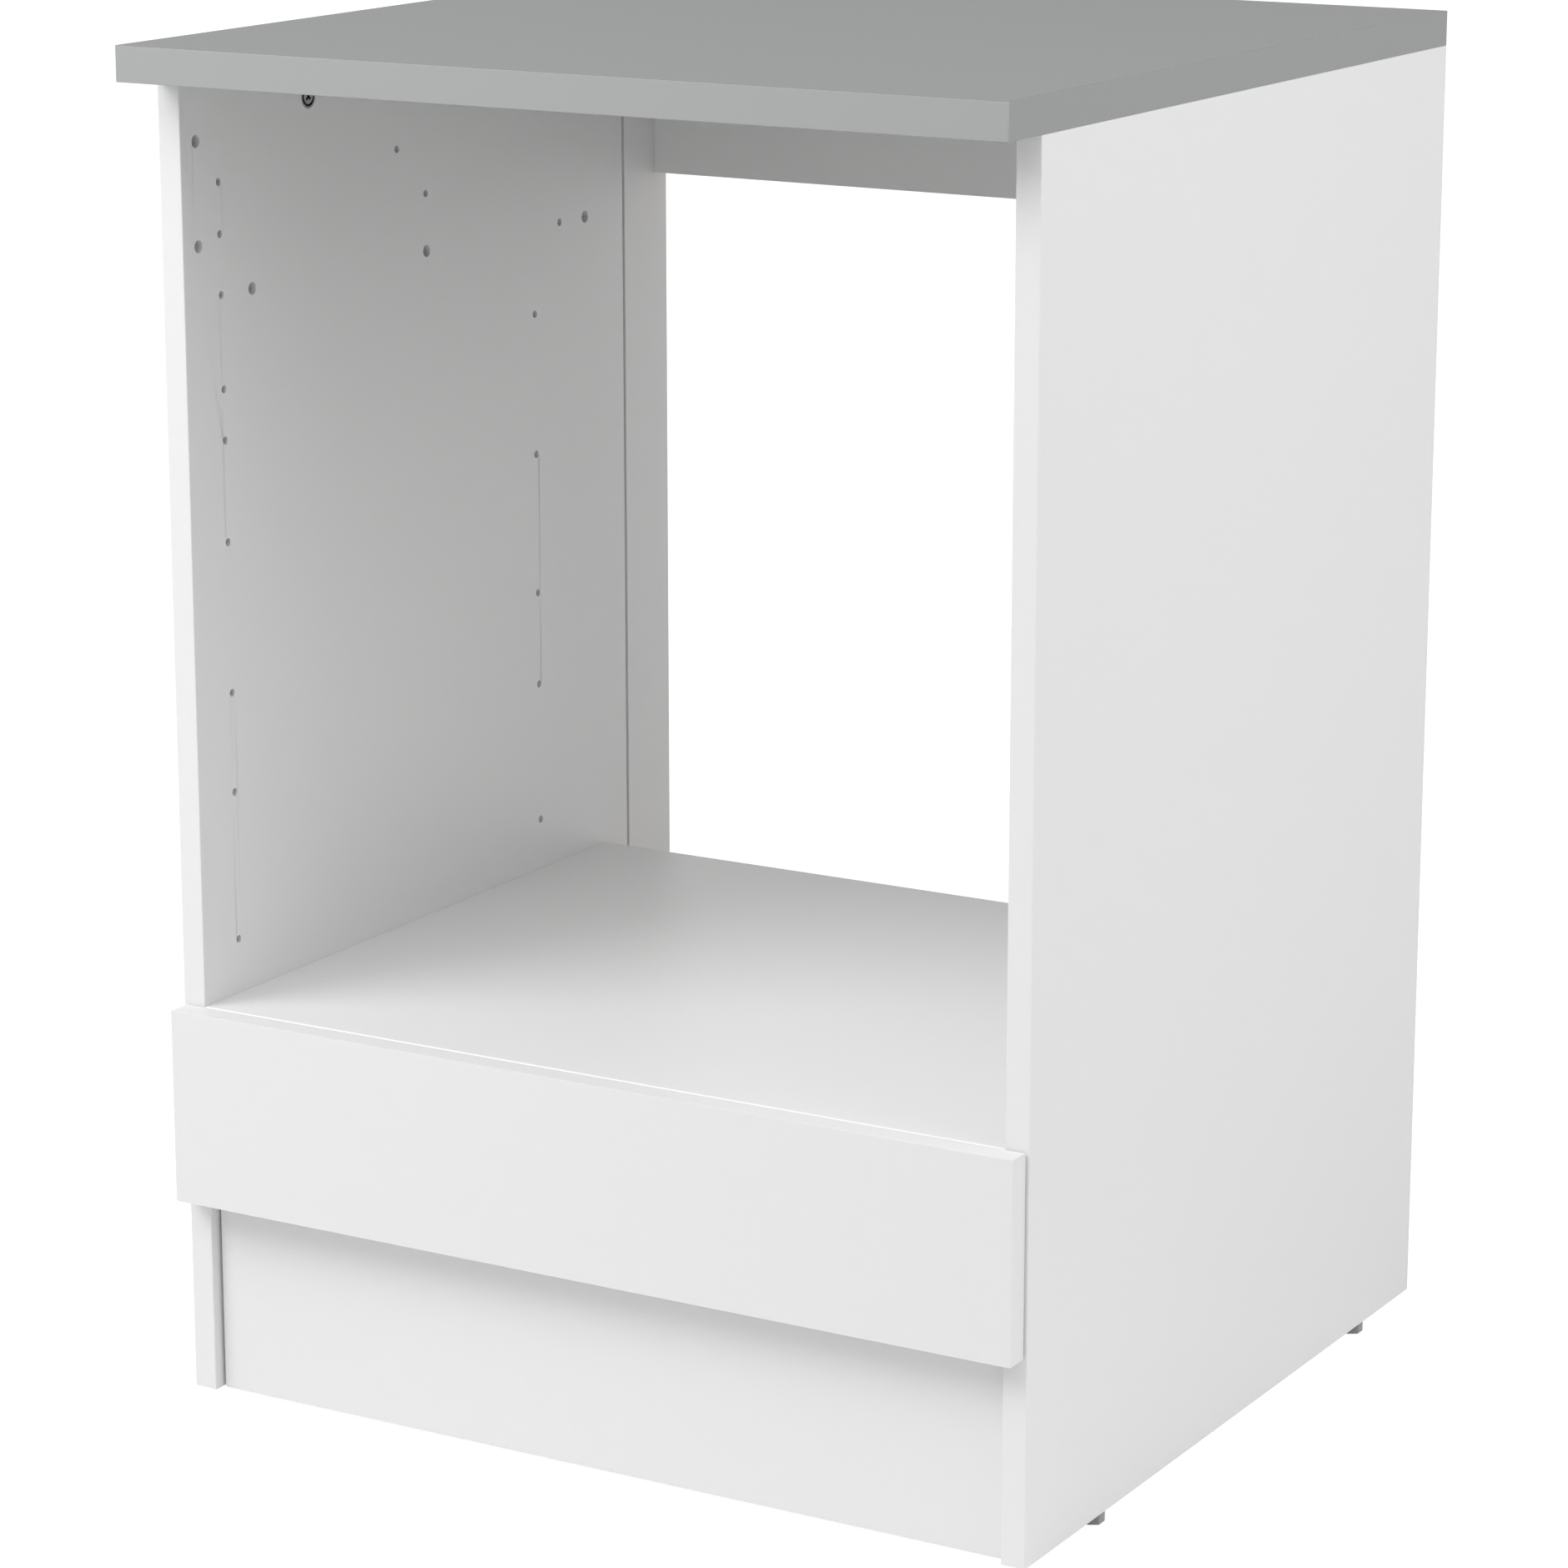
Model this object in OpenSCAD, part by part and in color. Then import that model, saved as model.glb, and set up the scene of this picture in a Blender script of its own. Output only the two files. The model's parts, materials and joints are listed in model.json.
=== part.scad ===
// Oven base cabinet of white faced chipboard with a grey worktop, an oven
// compartment that is open at the front and the back, and one drawer below it.
// Millimetres. X is the width, the front faces -Y, Z is up. The origin lies on
// the floor, in the middle of the worktop's outline.

/* [Carcass] */
// Width over the two side panels
cabinet_w = 600; // [500:10:900]
// Depth of the side panels, with their edging
carcass_d = 560; // [550:5:620]
// Thickness of every white board
board_t = 16; // [15:0.5:19]
// Thickness of the edging on the front edges of the white boards
edging_t = 0.8; // [0.4:0.1:1.5]
// Height of the oven compartment, from its shelf to the worktop
niche_h = 582; // [560:2:620]
// Height of the drawer compartment, between the bottom panel and the oven shelf
bay_h = 94; // [90:2:140]
// Depth of the oven shelf and of the bottom panel
shelf_d = 472; // [468:2:495]
// Height of the rear rail
rail_h = 116; // [112:2:160]
// Distance from the front edge to the back panel groove
groove_y = 502; // [500:1:510]
// Width of the back panel groove
groove_w = 3; // [2.5:0.5:4]
// Depth of the back panel groove
groove_depth = 7; // [4:0.5:8]

/* [Worktop] */
// Thickness of the worktop
worktop_t = 22; // [20:1:40]
// How far the worktop reaches past the side panels in front
worktop_overhang = 40; // [20:5:60]
// Thickness of the edging on the worktop
worktop_edging_t = 1; // [0.6:0.2:2]

/* [Plinth] */
// Height of the plinth panel
plinth_h = 130; // [100:2:138]
// How far the plinth panel stands behind the front edges
plinth_setback = 8; // [4:1:30]
// Gap at each end of the plinth panel
plinth_gap = 2; // [1:0.5:4]
// Length of each leg of a plinth bracket
bracket_leg = 30; // [24:1:36]
// Width of a plinth bracket
bracket_w = 20; // [16:1:30]
// Sheet thickness of a plinth bracket
bracket_t = 2; // [1.5:0.5:3]
// Distance of the plinth brackets from the middle
bracket_x = 180; // [100:5:220]

/* [Drilling] */
// Pitch of the hole grid
grid = 32; // [31.5:0.25:32.5]
// Distance from the raw front edge, under the edging, to the first row of holes
first_row_y = 37; // [36:0.5:38]
// Height of the grid's zero line over the panel's lower edge
grid_z = 3; // [0:0.5:8]
// Diameter of a shelf pin hole
pin_hole_d = 5; // [4.8:0.1:5.2]
// Depth of a shelf pin hole
pin_hole_depth = 12; // [11.5:0.5:13]
// Height of the spare shelf row over the panel's lower edge
spare_shelf_z = 701.5; // [680:0.5:720]
// Distance from the raw front edge to the spare holes for a front rail
front_rail_y = 15; // [12:0.5:18]

/* [Cam fittings] */
// Diameter of a cam
cam_d = 15; // [14:0.5:16]
// Distance from a cam's middle to the joint that it pulls together
cam_inset = 24; // [22:1:30]
// Diameter of the hole that a connecting bolt lies in
bolt_hole_d = 8; // [7.6:0.2:8.6]
// Diameter of a connecting bolt's shaft
bolt_shaft_d = 7; // [6:0.2:7.4]
// Diameter of a connecting bolt's head
bolt_head_d = 6.6; // [6:0.1:6.8]
// Diameter of the neck behind a bolt's head
bolt_neck_d = 4.2; // [3.6:0.2:4.6]
// Length of a bolt's thread
bolt_thread_l = 11; // [9:0.5:11]

/* [Dowels] */
// Diameter of a dowel hole
dowel_d = 8; // [7:0.5:8]
// Length of a dowel
dowel_l = 30; // [26:1:34]
// Depth of the dowel holes in the face of a board
dowel_seat = 12; // [10:0.5:13]

/* [Feet] */
// Height of a foot's hexagonal head
foot_h = 8; // [6:1:14]
// Width across the flats of a foot
foot_af = 13; // [11:0.5:14]
// Diameter of a foot's threaded shank
foot_shank_d = 8; // [6:0.5:8]
// Length of a foot's threaded shank
foot_shank_l = 32; // [28:1:40]
// Outer diameter of the sleeve that a foot is screwed into
sleeve_d = 11; // [10:0.5:12]
// Length of the sleeve
sleeve_l = 28; // [24:1:36]
// Distance from the front edge to the front feet
foot_front_y = 104; // [80:2:140]
// Distance from the front edge to the rear feet
foot_rear_y = 486; // [440:2:490]

/* [Drawer] */
// How far the drawer front stays inside the cabinet's width at each end
front_reveal = 2; // [1:0.5:4]
// Gap between the drawer front and the side panels
front_gap = 1; // [0.8:0.1:2]
// Height of the drawer's sides
drawer_side_h = 75; // [68:1:84]
// Thickness of the drawer's base
base_t = 3; // [3:0.5:5]
// Height of the base groove over a side's lower edge
base_rise = 10; // [8:0.5:14]
// Depth of the base groove
base_groove = 6; // [4:0.5:8]
// Diameter of a bumper
bumper_d = 8; // [6:0.5:10]

/* [Runners] */
// Room for the runner between a side panel and the drawer
slide_gap = 12.5; // [12.5:0.1:14]
// Sheet thickness of the runners
sheet_t = 1.2; // [1:0.1:1.3]
// Length of the runners, and depth of the drawer behind its front
runner_l = 450; // [430:5:460]
// How far the cabinet's runners stand behind the front edge
runner_setback = 3; // [2:0.5:5]
// Height of the runner's track over the bottom panel
runner_rise = 8; // [7.5:0.5:12]
// Diameter of a roller
roller_d = 20; // [18:0.5:22]
// Width of a roller
roller_w = 6.5; // [5.5:0.1:6.8]
// Diameter of a roller's pin
roller_pin_d = 4; // [3:0.2:5]
// Play of the rollers in their track
roller_play = 0.2; // [0.15:0.05:0.4]
// Width of the flange under the drawer's side
side_flange_w = 11; // [8:0.5:12]
// How far the drawer slides out
drawer_travel = 340; // [300:5:345]
// Inside radius of the bends of the runners
bend_r = 0.8; // [0.4:0.1:1]
// Width of the spare slots in the runners
slot_w = 4.4; // [3.8:0.2:5]
// Length of the spare slots in the runners
slot_l = 9; // [7:0.5:12]

/* [Hidden] */
$fn = 48;

// Radial clearance of a shaft that turns or slides in its hole
run_fit = 0.05;
// Radial clearance of a dowel or a screw in its hole
seat_fit = 0.05;
// Gap between a loose piece and the stop or groove that it lies in
loose_gap = 0.2;
// How far a cutter runs past the face that it cuts
cut = 1;
// Share of an edging's thickness over which its outer edges are milled round
edging_round = 0.7;

// Directions
LEFT = -1;
RIGHT = 1;
SIDES = [LEFT, RIGHT];
UP = [0, 0, 1];
DOWN = [0, 0, -1];
FORWARD = [0, -1, 0];
BACKWARD = [0, 1, 0];

// Carcass planes
half_w = cabinet_w / 2;
inner_x = half_w - board_t;
worktop_d = carcass_d + worktop_overhang;
rear_y = worktop_d / 2;
front_y = rear_y - carcass_d;
base_z = foot_h;
bottom_z = base_z + plinth_h;
shelf_z = bottom_z + board_t + bay_h;
top_z = shelf_z + board_t + niche_h;
panel_h = top_z - base_z;
rail_z = top_z - rail_h;
plinth_rear_y = front_y + plinth_setback + board_t;
panel_mid_x = half_w - board_t / 2;

// Grid positions, counted from the first row and from the zero line
front_row_k = [9, 12, 14, 17, 19, 20, 23, 24];
rear_row_n = 11;
rear_row_k = [9, 12, 14, 17, 20];
odd_pin_holes = [[6, 24], [7, 23]];
shelf_bolt_n = [0, 12];
shelf_dowel_n = [1, 7, 13];
worktop_cam_n = [3, 13];
runner_end_room = 12;
runner_last_n = floor((runner_setback + runner_l - runner_end_room - edging_t - first_row_y) / grid);
runner_screw_n = [0, 7, runner_last_n];
// Drops of the rail's dowels below the top, and of the cam between them
rail_dowel_drop = [40, 104];
rail_cam_drop = (rail_dowel_drop[0] + rail_dowel_drop[1]) / 2;

// Cam and bolt, from the cam's middle along the bolt
cam_hole_depth = board_t / 2 + 4.5;
cam_end_gap = 0.2;
cam_face_drop = 0.1;
cam_l = cam_hole_depth - cam_end_gap - cam_face_drop;
bolt_depth = board_t / 2;
bolt_head_from = -1.5;
bolt_head_to = 2.5;
bolt_neck_to = cam_d / 2 + 1;
head_play = 0.3;
neck_play = 0.3;
// The hollow is set off centre, so that its wall draws the bolt's head in
cam_throw = 0.45;
bolt_head_reach = sqrt(pow(bolt_head_d / 2, 2) + pow(bolt_head_to, 2));
cam_hollow_r = bolt_head_reach + 0.15 + cam_throw;
// How far the slot runs past the bolt's middle to clear its neck
neck_angle = asin((bolt_neck_d / 2 + neck_play) / (cam_hollow_r - cam_throw));
cam_turn = 180;
bolt_thread_d = pin_hole_d - 2 * seat_fit;
driver_l = 6;
driver_w = 1.3;
driver_depth = 2.6;
cam_ring_r = [5, 6.4];
cam_ring_depth = 0.8;

// Feet
foot_bore_depth = foot_shank_l + 6;
sleeve_rib_depth = 0.5;
sleeve_rib_pitch = 4;
sleeve_rib_w = 2;
foot_edge = 1;

// Screws
pan_head_d = 6.4;
pan_head_h = 1.4;
small_shank_d = 3.4;
small_screw_l = 12;
flat_head_d = 7;
flat_head_h = 2;
back_screw_l = 36;
runner_head_d = 8.4;
runner_head_h = 1.1;
runner_shank_l = 11;

// Runner section: s runs from the side panel inwards, z from the track upwards
roller_r = roller_d / 2;
roller_z = roller_play + roller_r;
flange_z = roller_z + roller_r + roller_play;
track_h = flange_z + sheet_t + 0.6;
track_w = 10.2;
drawer_web_s = slide_gap - sheet_t;
// The rollers run clear of the screw heads on the cabinet's web
roller_s = sheet_t + runner_head_h + 1;
roller_hub_set = 1;
roller_hub_r = 4;
roller_rim_t = 2.2;
roller_web_t = 2;
rivet_h = 0.7;
rivet_r = 3.3;
shoulder_r = 3;
under_track = 4;
under_side = under_track - sheet_t;
front_roller_in = 12;
rear_roller_in = 14;
top_flange_from = 60;
// The web stands lower where it has no flange, and rises to it over a slope
front_web_h = roller_z + 6.5;
front_web_slope = 16;
corner_cut = 3;
stop_h = 2.5;
stop_w = 6;
rear_stop_h = 6;
runner_slot_n = [2, 4, 9];
drawer_slot_n = [2, 6, 10];
// How far a slot in the flange under the drawer's side lies behind its screw
flange_slot_in = 24;

// Drawer planes
runner_z = bottom_z + board_t + runner_rise;
side_z = runner_z - under_side;
drawer_y = front_y - front_gap;
drawer_rear_y = drawer_y + runner_l;
drawer_out_x = inner_x - slide_gap;
drawer_in_x = drawer_out_x - board_t;
front_z = bottom_z;
front_h = shelf_z + board_t - bottom_z;
base_z_low = side_z + base_rise;
base_z_top = base_z_low + base_t;
side_mid_x = drawer_out_x - board_t / 2;
front_roller_y = front_y + runner_setback + front_roller_in;
rear_roller_y = drawer_rear_y - rear_roller_in;
drawer_cam_rise = 38;
drawer_dowel_rise = 60;
back_screw_rise = [32, 60];
drawer_cam_z = side_z + drawer_cam_rise;
drawer_dowel_z = side_z + drawer_dowel_rise;
back_screw_z = [for (rise = back_screw_rise) side_z + rise];
base_screw_pitch = 190;
side_screw_in = 45;
side_screw_y = [side_screw_in, runner_l / 2, runner_l - side_screw_in];
bumper_in = 15;
bumper_t = front_gap - loose_gap;
cabinet_shoulder = roller_s - sheet_t - loose_gap / 2;
drawer_shoulder = drawer_web_s - roller_s - roller_w - loose_gap / 2;
// Height of the bracket holes along each leg, from the corner
bracket_hole = 0.6 * bracket_leg;

function row_y(n) = front_y + edging_t + first_row_y + n * grid;
function row_z(k) = base_z + grid_z + k * grid;

// Frame of a fitting: its own Z points out of the face, its own X along the bolt
module placed(p, out, along) {
    side = cross(out, along);
    multmatrix([
        [along.x, side.x, out.x, p.x],
        [along.y, side.y, out.y, p.y],
        [along.z, side.z, out.z, p.z]
    ]) children();
}

// Frame of a screw: its own Z points out of the face
module facing(p, out) {
    placed(p, out, out.z == 0 ? UP : [1, 0, 0]) children();
}

// Cylinder along X, from x = from to x = to
module rod_x(d, from, to) {
    translate([from, 0, 0]) rotate([0, 90, 0]) cylinder(d = d, h = to - from);
}

// Hole in the face z = 0 of the frame that it is drawn in
module drilled(d, depth) {
    translate([0, 0, -depth]) cylinder(d = d, h = depth + cut);
}

// Pocket for a cam, with the hole for its bolt
module cam_pocket() {
    drilled(cam_d, cam_hole_depth);
    translate([0, 0, -bolt_depth]) rod_x(bolt_hole_d, 0, cam_inset + cut);
}

// Cam: a turned body with a hollow for the bolt's head, a slot for its neck
// that runs half way round, and a mouth at the slot's end
module cam() {
    r = cam_d / 2 - run_fit;
    hollow_h = bolt_head_d + 2 * head_play;
    slot_h = bolt_neck_d + 2 * neck_play;
    color("dimgray") difference() {
        translate([0, 0, -cam_face_drop - cam_l]) cylinder(r = r, h = cam_l);
        translate([-cam_throw, 0, -bolt_depth - hollow_h / 2]) cylinder(r = cam_hollow_r, h = hollow_h);
        translate([0, 0, -bolt_depth - slot_h / 2])
            rotate([0, 0, -cam_turn])
                rotate_extrude(angle = cam_turn + neck_angle)
                    translate([1, 0]) square([cam_d, slot_h]);
        translate([-cam_d, -hollow_h / 2, -bolt_depth - hollow_h / 2]) cube([cam_d, hollow_h, hollow_h]);
        for (turn = [0, 90])
            rotate([0, 0, turn + 45])
                translate([-driver_l / 2, -driver_w / 2, -cam_face_drop - driver_depth])
                    cube([driver_l, driver_w, driver_depth + cut]);
        translate([0, 0, -cam_face_drop - cam_ring_depth]) difference() {
            cylinder(r = cam_ring_r[1], h = cam_ring_depth + cut);
            translate([0, 0, -cut]) cylinder(r = cam_ring_r[0], h = cam_ring_depth + 3 * cut);
        }
    }
}

// Connecting bolt of a cam, drawn from the cam's middle
module bolt() {
    color("silver") translate([0, 0, -bolt_depth]) {
        rod_x(bolt_head_d, bolt_head_from, bolt_head_to);
        rod_x(bolt_neck_d, bolt_head_to, bolt_neck_to);
        rod_x(bolt_shaft_d, bolt_neck_to, cam_inset - loose_gap);
        rod_x(bolt_thread_d, cam_inset - loose_gap, cam_inset + bolt_thread_l);
    }
}

// Hole for a dowel through the joint plane x = 0 of its frame
module dowel_hole() {
    rod_x(dowel_d, -dowel_l + dowel_seat - loose_gap, cut);
}

// Dowel across the joint plane x = 0 of its frame, with its shorter end on +X
module dowel() {
    color("burlywood") rod_x(dowel_d - 2 * seat_fit, -dowel_l + dowel_seat, dowel_seat - loose_gap);
}

// Screw with a low round head on the face z = 0
module pan_screw(head_d, head_h, shank_d, length) {
    color("silver") {
        cylinder(d1 = head_d, d2 = 0.7 * head_d, h = head_h);
        translate([0, 0, -length]) cylinder(d = shank_d, h = length);
    }
}

// Small screw through a plate as thick as its through, into a board
module small_screw(through) {
    pan_screw(pan_head_d, pan_head_h, small_shank_d - 2 * seat_fit, small_screw_l + through - loose_gap);
}

// Screw with its head sunk level with the face z = 0
module flat_screw(length) {
    color("silver") {
        translate([0, 0, -flat_head_h]) cylinder(d1 = small_shank_d, d2 = flat_head_d, h = flat_head_h);
        translate([0, 0, -length]) cylinder(d = small_shank_d - 2 * seat_fit, h = length);
    }
}

// Places of the fittings
module at_worktop_cam(side, n) {
    placed([side * inner_x, row_y(n), top_z - cam_inset], [-side, 0, 0], UP) children();
}

module at_board_cams(z) {
    for (side = SIDES, n = shelf_bolt_n)
        placed([side * (inner_x - cam_inset), row_y(n), z], DOWN, [side, 0, 0]) children();
}

module at_board_dowels(z) {
    for (side = SIDES, n = shelf_dowel_n)
        placed([side * inner_x, row_y(n), z + board_t / 2], UP, [side, 0, 0]) children();
}

module at_rail_cams() {
    for (side = SIDES)
        placed([side * (inner_x - cam_inset), rear_y, top_z - rail_cam_drop], BACKWARD, [side, 0, 0])
            children();
}

module at_rail_dowels() {
    for (side = SIDES, drop = rail_dowel_drop)
        placed([side * inner_x, rear_y - board_t / 2, top_z - drop], UP, [side, 0, 0]) children();
}

module at_drawer_cam(side) {
    placed([side * drawer_in_x, drawer_y + cam_inset, drawer_cam_z], [-side, 0, 0], FORWARD) children();
}

module at_drawer_dowel(side) {
    placed([side * side_mid_x, drawer_y, drawer_dowel_z], UP, FORWARD) children();
}

module at_foot(side, y) {
    translate([side * panel_mid_x, front_y + y, base_z]) children();
}

module at_runner_rows(side, rows) {
    for (n = rows)
        facing([side * inner_x, row_y(n), runner_z + roller_z], [-side, 0, 0]) children();
}

module at_runner_screws(side) {
    at_runner_rows(side, runner_screw_n) children();
}

module at_back_screws(side) {
    for (z = back_screw_z)
        facing([side * drawer_out_x, drawer_rear_y - board_t / 2, z], [side, 0, 0]) children();
}

module at_base_screws() {
    for (i = [-1 : 1])
        facing([i * base_screw_pitch, drawer_rear_y - board_t / 2, base_z_low], DOWN) children();
}

module at_side_screws(side) {
    for (y = side_screw_y)
        facing([side * (drawer_out_x - side_flange_w / 2), drawer_y + y, side_z - sheet_t], DOWN)
            children();
}

// Frames on the two faces that a plinth bracket is screwed to
module at_plinth_face() {
    for (side = SIDES)
        facing([side * bracket_x, plinth_rear_y, bottom_z - bracket_hole], BACKWARD) children();
}

module at_plinth_ceiling() {
    for (side = SIDES)
        facing([side * bracket_x, plinth_rear_y + bracket_hole, bottom_z], DOWN) children();
}

// Hole in the inner face of a side panel
module panel_hole(side, y, z, d, depth) {
    facing([side * inner_x, y, z], [-side, 0, 0]) drilled(d, depth);
}

module row_holes(side, z) {
    for (n = shelf_bolt_n)
        panel_hole(side, row_y(n), z, pin_hole_d, pin_hole_depth);
    for (n = shelf_dowel_n)
        panel_hole(side, row_y(n), z, dowel_d, dowel_seat);
}

module rail_holes(side, y) {
    for (drop = rail_dowel_drop)
        panel_hole(side, y, top_z - drop, dowel_d, dowel_seat);
}

module pin_holes(side) {
    grid_holes = concat(
        [for (k = front_row_k) [0, k]],
        [for (k = rear_row_k) [rear_row_n, k]],
        odd_pin_holes
    );
    for (hole = grid_holes)
        panel_hole(side, row_y(hole[0]), row_z(hole[1]), pin_hole_d, pin_hole_depth);
}

module side_panel(side) {
    color("white") difference() {
        translate([side > 0 ? inner_x : -half_w, front_y + edging_t, base_z])
            cube([board_t, carcass_d - edging_t, panel_h]);
        translate([side * inner_x - groove_depth, front_y + groove_y, base_z - cut])
            cube([2 * groove_depth, groove_w, panel_h + 2 * cut]);
        pin_holes(side);
        row_holes(side, base_z + spare_shelf_z);
        row_holes(side, shelf_z + board_t / 2);
        row_holes(side, bottom_z + board_t / 2);
        rail_holes(side, front_y + edging_t + front_rail_y);
        rail_holes(side, rear_y - board_t / 2);
        panel_hole(side, rear_y - board_t / 2, top_z - rail_cam_drop, pin_hole_d, pin_hole_depth);
        at_runner_screws(side) drilled(pin_hole_d, pin_hole_depth);
        for (n = worktop_cam_n)
            at_worktop_cam(side, n) cam_pocket();
        for (y = [foot_front_y, foot_rear_y])
            at_foot(side, y) translate([0, 0, -cut]) cylinder(d = sleeve_d, h = foot_bore_depth + cut);
    }
}

// Edging that lies along +X and stands in +Z, with its back on the plane y = 0
// and its two outer edges milled round
module edging(length, height, t) {
    r = edging_round * t;
    rotate([90, 0, 90]) linear_extrude(length) {
        translate([-t, r]) square([t, height - 2 * r]);
        translate([r - t, 0]) square([t - r, height]);
        for (z = [r, height - r])
            intersection() {
                translate([r - t, z]) circle(r);
                translate([-t, 0]) square([t, height]);
            }
    }
}

module side_edging(side) {
    color("white") translate([side > 0 ? inner_x : -half_w, front_y + edging_t, top_z])
        rotate([0, 90, 0]) edging(panel_h, board_t, edging_t);
}

// Board between the side panels, held by four cams and six dowels, less what
// is drawn after it
module cross_board(z) {
    color("white") difference() {
        translate([-inner_x, front_y + edging_t, z])
            cube([2 * inner_x, shelf_d - edging_t, board_t]);
        at_board_cams(z) cam_pocket();
        at_board_dowels(z) dowel_hole();
        children();
    }
}

module bottom_panel() {
    cross_board(bottom_z) at_plinth_ceiling() drilled(small_shank_d, small_screw_l);
}

module cross_edging(z) {
    color("white") translate([-inner_x, front_y + edging_t, z]) edging(2 * inner_x, board_t, edging_t);
}

module rear_rail() {
    color("white") difference() {
        translate([-inner_x, rear_y - board_t, rail_z]) cube([2 * inner_x, board_t, rail_h]);
        at_rail_cams() cam_pocket();
        at_rail_dowels() dowel_hole();
    }
}

module plinth_panel() {
    color("white") difference() {
        translate([-inner_x + plinth_gap, front_y + plinth_setback, base_z])
            cube([2 * (inner_x - plinth_gap), board_t, plinth_h]);
        at_plinth_face() drilled(small_shank_d, small_screw_l);
    }
}

module plinth_brackets() {
    color("silver") for (side = SIDES)
        difference() {
            translate([side * bracket_x - bracket_w / 2, plinth_rear_y, bottom_z])
                rotate([90, 0, 90]) linear_extrude(bracket_w) bracket_section();
            at_plinth_face() bracket_bore();
            at_plinth_ceiling() bracket_bore();
        }
}

module bracket_bore() {
    translate([0, 0, -cut]) cylinder(d = small_shank_d, h = bracket_t + 2 * cut);
}

// Angle with its corner at the origin and a bend that is round inside
module bracket_section() {
    bend = bracket_t;
    difference() {
        translate([0, -bracket_leg]) square(bracket_leg);
        translate([bracket_t + bend, -bracket_leg - cut])
            square([bracket_leg, bracket_leg + cut - bracket_t]);
        translate([bracket_t, -bracket_leg - cut])
            square([bracket_leg, bracket_leg + cut - bracket_t - bend]);
        translate([bracket_t + bend, -bracket_t - bend]) circle(bend);
    }
}

module plinth_screws() {
    at_plinth_face() translate([0, 0, bracket_t]) small_screw(bracket_t);
    at_plinth_ceiling() translate([0, 0, bracket_t]) small_screw(bracket_t);
}

module worktop_board() {
    color("darkgray") difference() {
        translate([-half_w + worktop_edging_t, -worktop_d / 2 + worktop_edging_t, top_z])
            cube([cabinet_w - 2 * worktop_edging_t, worktop_d - worktop_edging_t, worktop_t]);
        for (side = SIDES, n = worktop_cam_n)
            facing([side * panel_mid_x, row_y(n), top_z], DOWN) drilled(pin_hole_d, pin_hole_depth);
    }
}

module worktop_front_edging() {
    color("darkgray") translate([-half_w, -worktop_d / 2 + worktop_edging_t, top_z])
        edging(cabinet_w, worktop_t, worktop_edging_t);
}

module worktop_side_edgings() {
    length = worktop_d - worktop_edging_t;
    color("darkgray") for (side = SIDES)
        translate([side * (half_w - worktop_edging_t), worktop_d / 2 - (side > 0 ? length : 0), top_z])
            rotate([0, 0, side * 90]) edging(length, worktop_t, worktop_edging_t);
}

// Sleeve with ribs that hold it in the panel's lower edge
module foot_sleeve() {
    color("gray") difference() {
        union() {
            cylinder(d = sleeve_d - 2 * sleeve_rib_depth, h = sleeve_l);
            for (z = [0 : sleeve_rib_pitch : sleeve_l - sleeve_rib_w])
                translate([0, 0, z]) cylinder(d = sleeve_d, h = sleeve_rib_w);
        }
        translate([0, 0, -cut]) cylinder(d = foot_shank_d, h = sleeve_l + 2 * cut);
    }
}

// Levelling foot: a hexagonal head with an eased lower edge on a threaded shank
module foot() {
    head_d = foot_af / cos(30);
    blank_d = head_d + foot_edge;
    color("gray") {
        translate([0, 0, -foot_h]) intersection() {
            cylinder(d = head_d, h = foot_h, $fn = 6);
            union() {
                cylinder(d1 = foot_af - foot_edge, d2 = blank_d, h = foot_edge);
                translate([0, 0, foot_edge]) cylinder(d = blank_d, h = foot_h);
            }
        }
        cylinder(d = foot_shank_d - 2 * run_fit, h = foot_shank_l);
    }
}

// Quarter of a ring of sheet round the origin, between +X and +Y
module bend(r) {
    intersection() {
        difference() {
            circle(r + sheet_t);
            if (r > 0) circle(r);
        }
        square(r + sheet_t);
    }
}

// Steel sections of the runners, s to the right and z up
module cabinet_section() {
    out_r = bend_r + sheet_t;
    translate([0, bend_r]) square([sheet_t, track_h - 2 * bend_r]);
    translate([out_r, bend_r]) rotate(180) bend(bend_r);
    translate([out_r, track_h - bend_r]) rotate(90) bend(bend_r);
    for (z = [-sheet_t, track_h])
        translate([out_r, z]) square([track_w - out_r, sheet_t]);
}

// The lower bend is sharp inside, where the drawer's side sits in it
module drawer_section() {
    translate([roller_s, flange_z]) square([drawer_web_s - bend_r - roller_s, sheet_t]);
    translate([drawer_web_s - bend_r, flange_z - bend_r]) bend(bend_r);
    translate([drawer_web_s, -under_side]) square([sheet_t, flange_z - bend_r + under_side]);
    translate([slide_gap, -under_side]) rotate(180) bend(0);
    translate([slide_gap, -under_side - sheet_t]) square([side_flange_w, sheet_t]);
}

// Frame of a runner: its own X runs inwards from the side panel, its own Y backwards
module at_runner(side, y) {
    translate([side * inner_x, y, runner_z]) mirror([side > 0 ? 1 : 0, 0, 0]) children();
}

module extruded_y(length) {
    translate([0, length, 0]) rotate([90, 0, 0]) linear_extrude(length) children();
}

// Slot with round ends, along its own X, through the sheet on the face z = 0
module slotted() {
    straight = slot_l - slot_w;
    translate([-straight / 2, -slot_w / 2, -cut]) cube([straight, slot_w, sheet_t + 2 * cut]);
    for (end = [-1, 1])
        translate([end * straight / 2, 0, -cut]) cylinder(d = slot_w, h = sheet_t + 2 * cut);
}

// Corners cut off a flange that has its free edge at s and its underside at z
module corners_off(s, z, ends) {
    across = sqrt(2) * corner_cut;
    for (y = ends)
        translate([s, y, z - cut]) rotate([0, 0, 45]) translate([-across / 2, -across / 2, 0])
            cube([across, across, sheet_t + 2 * cut]);
}

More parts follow.
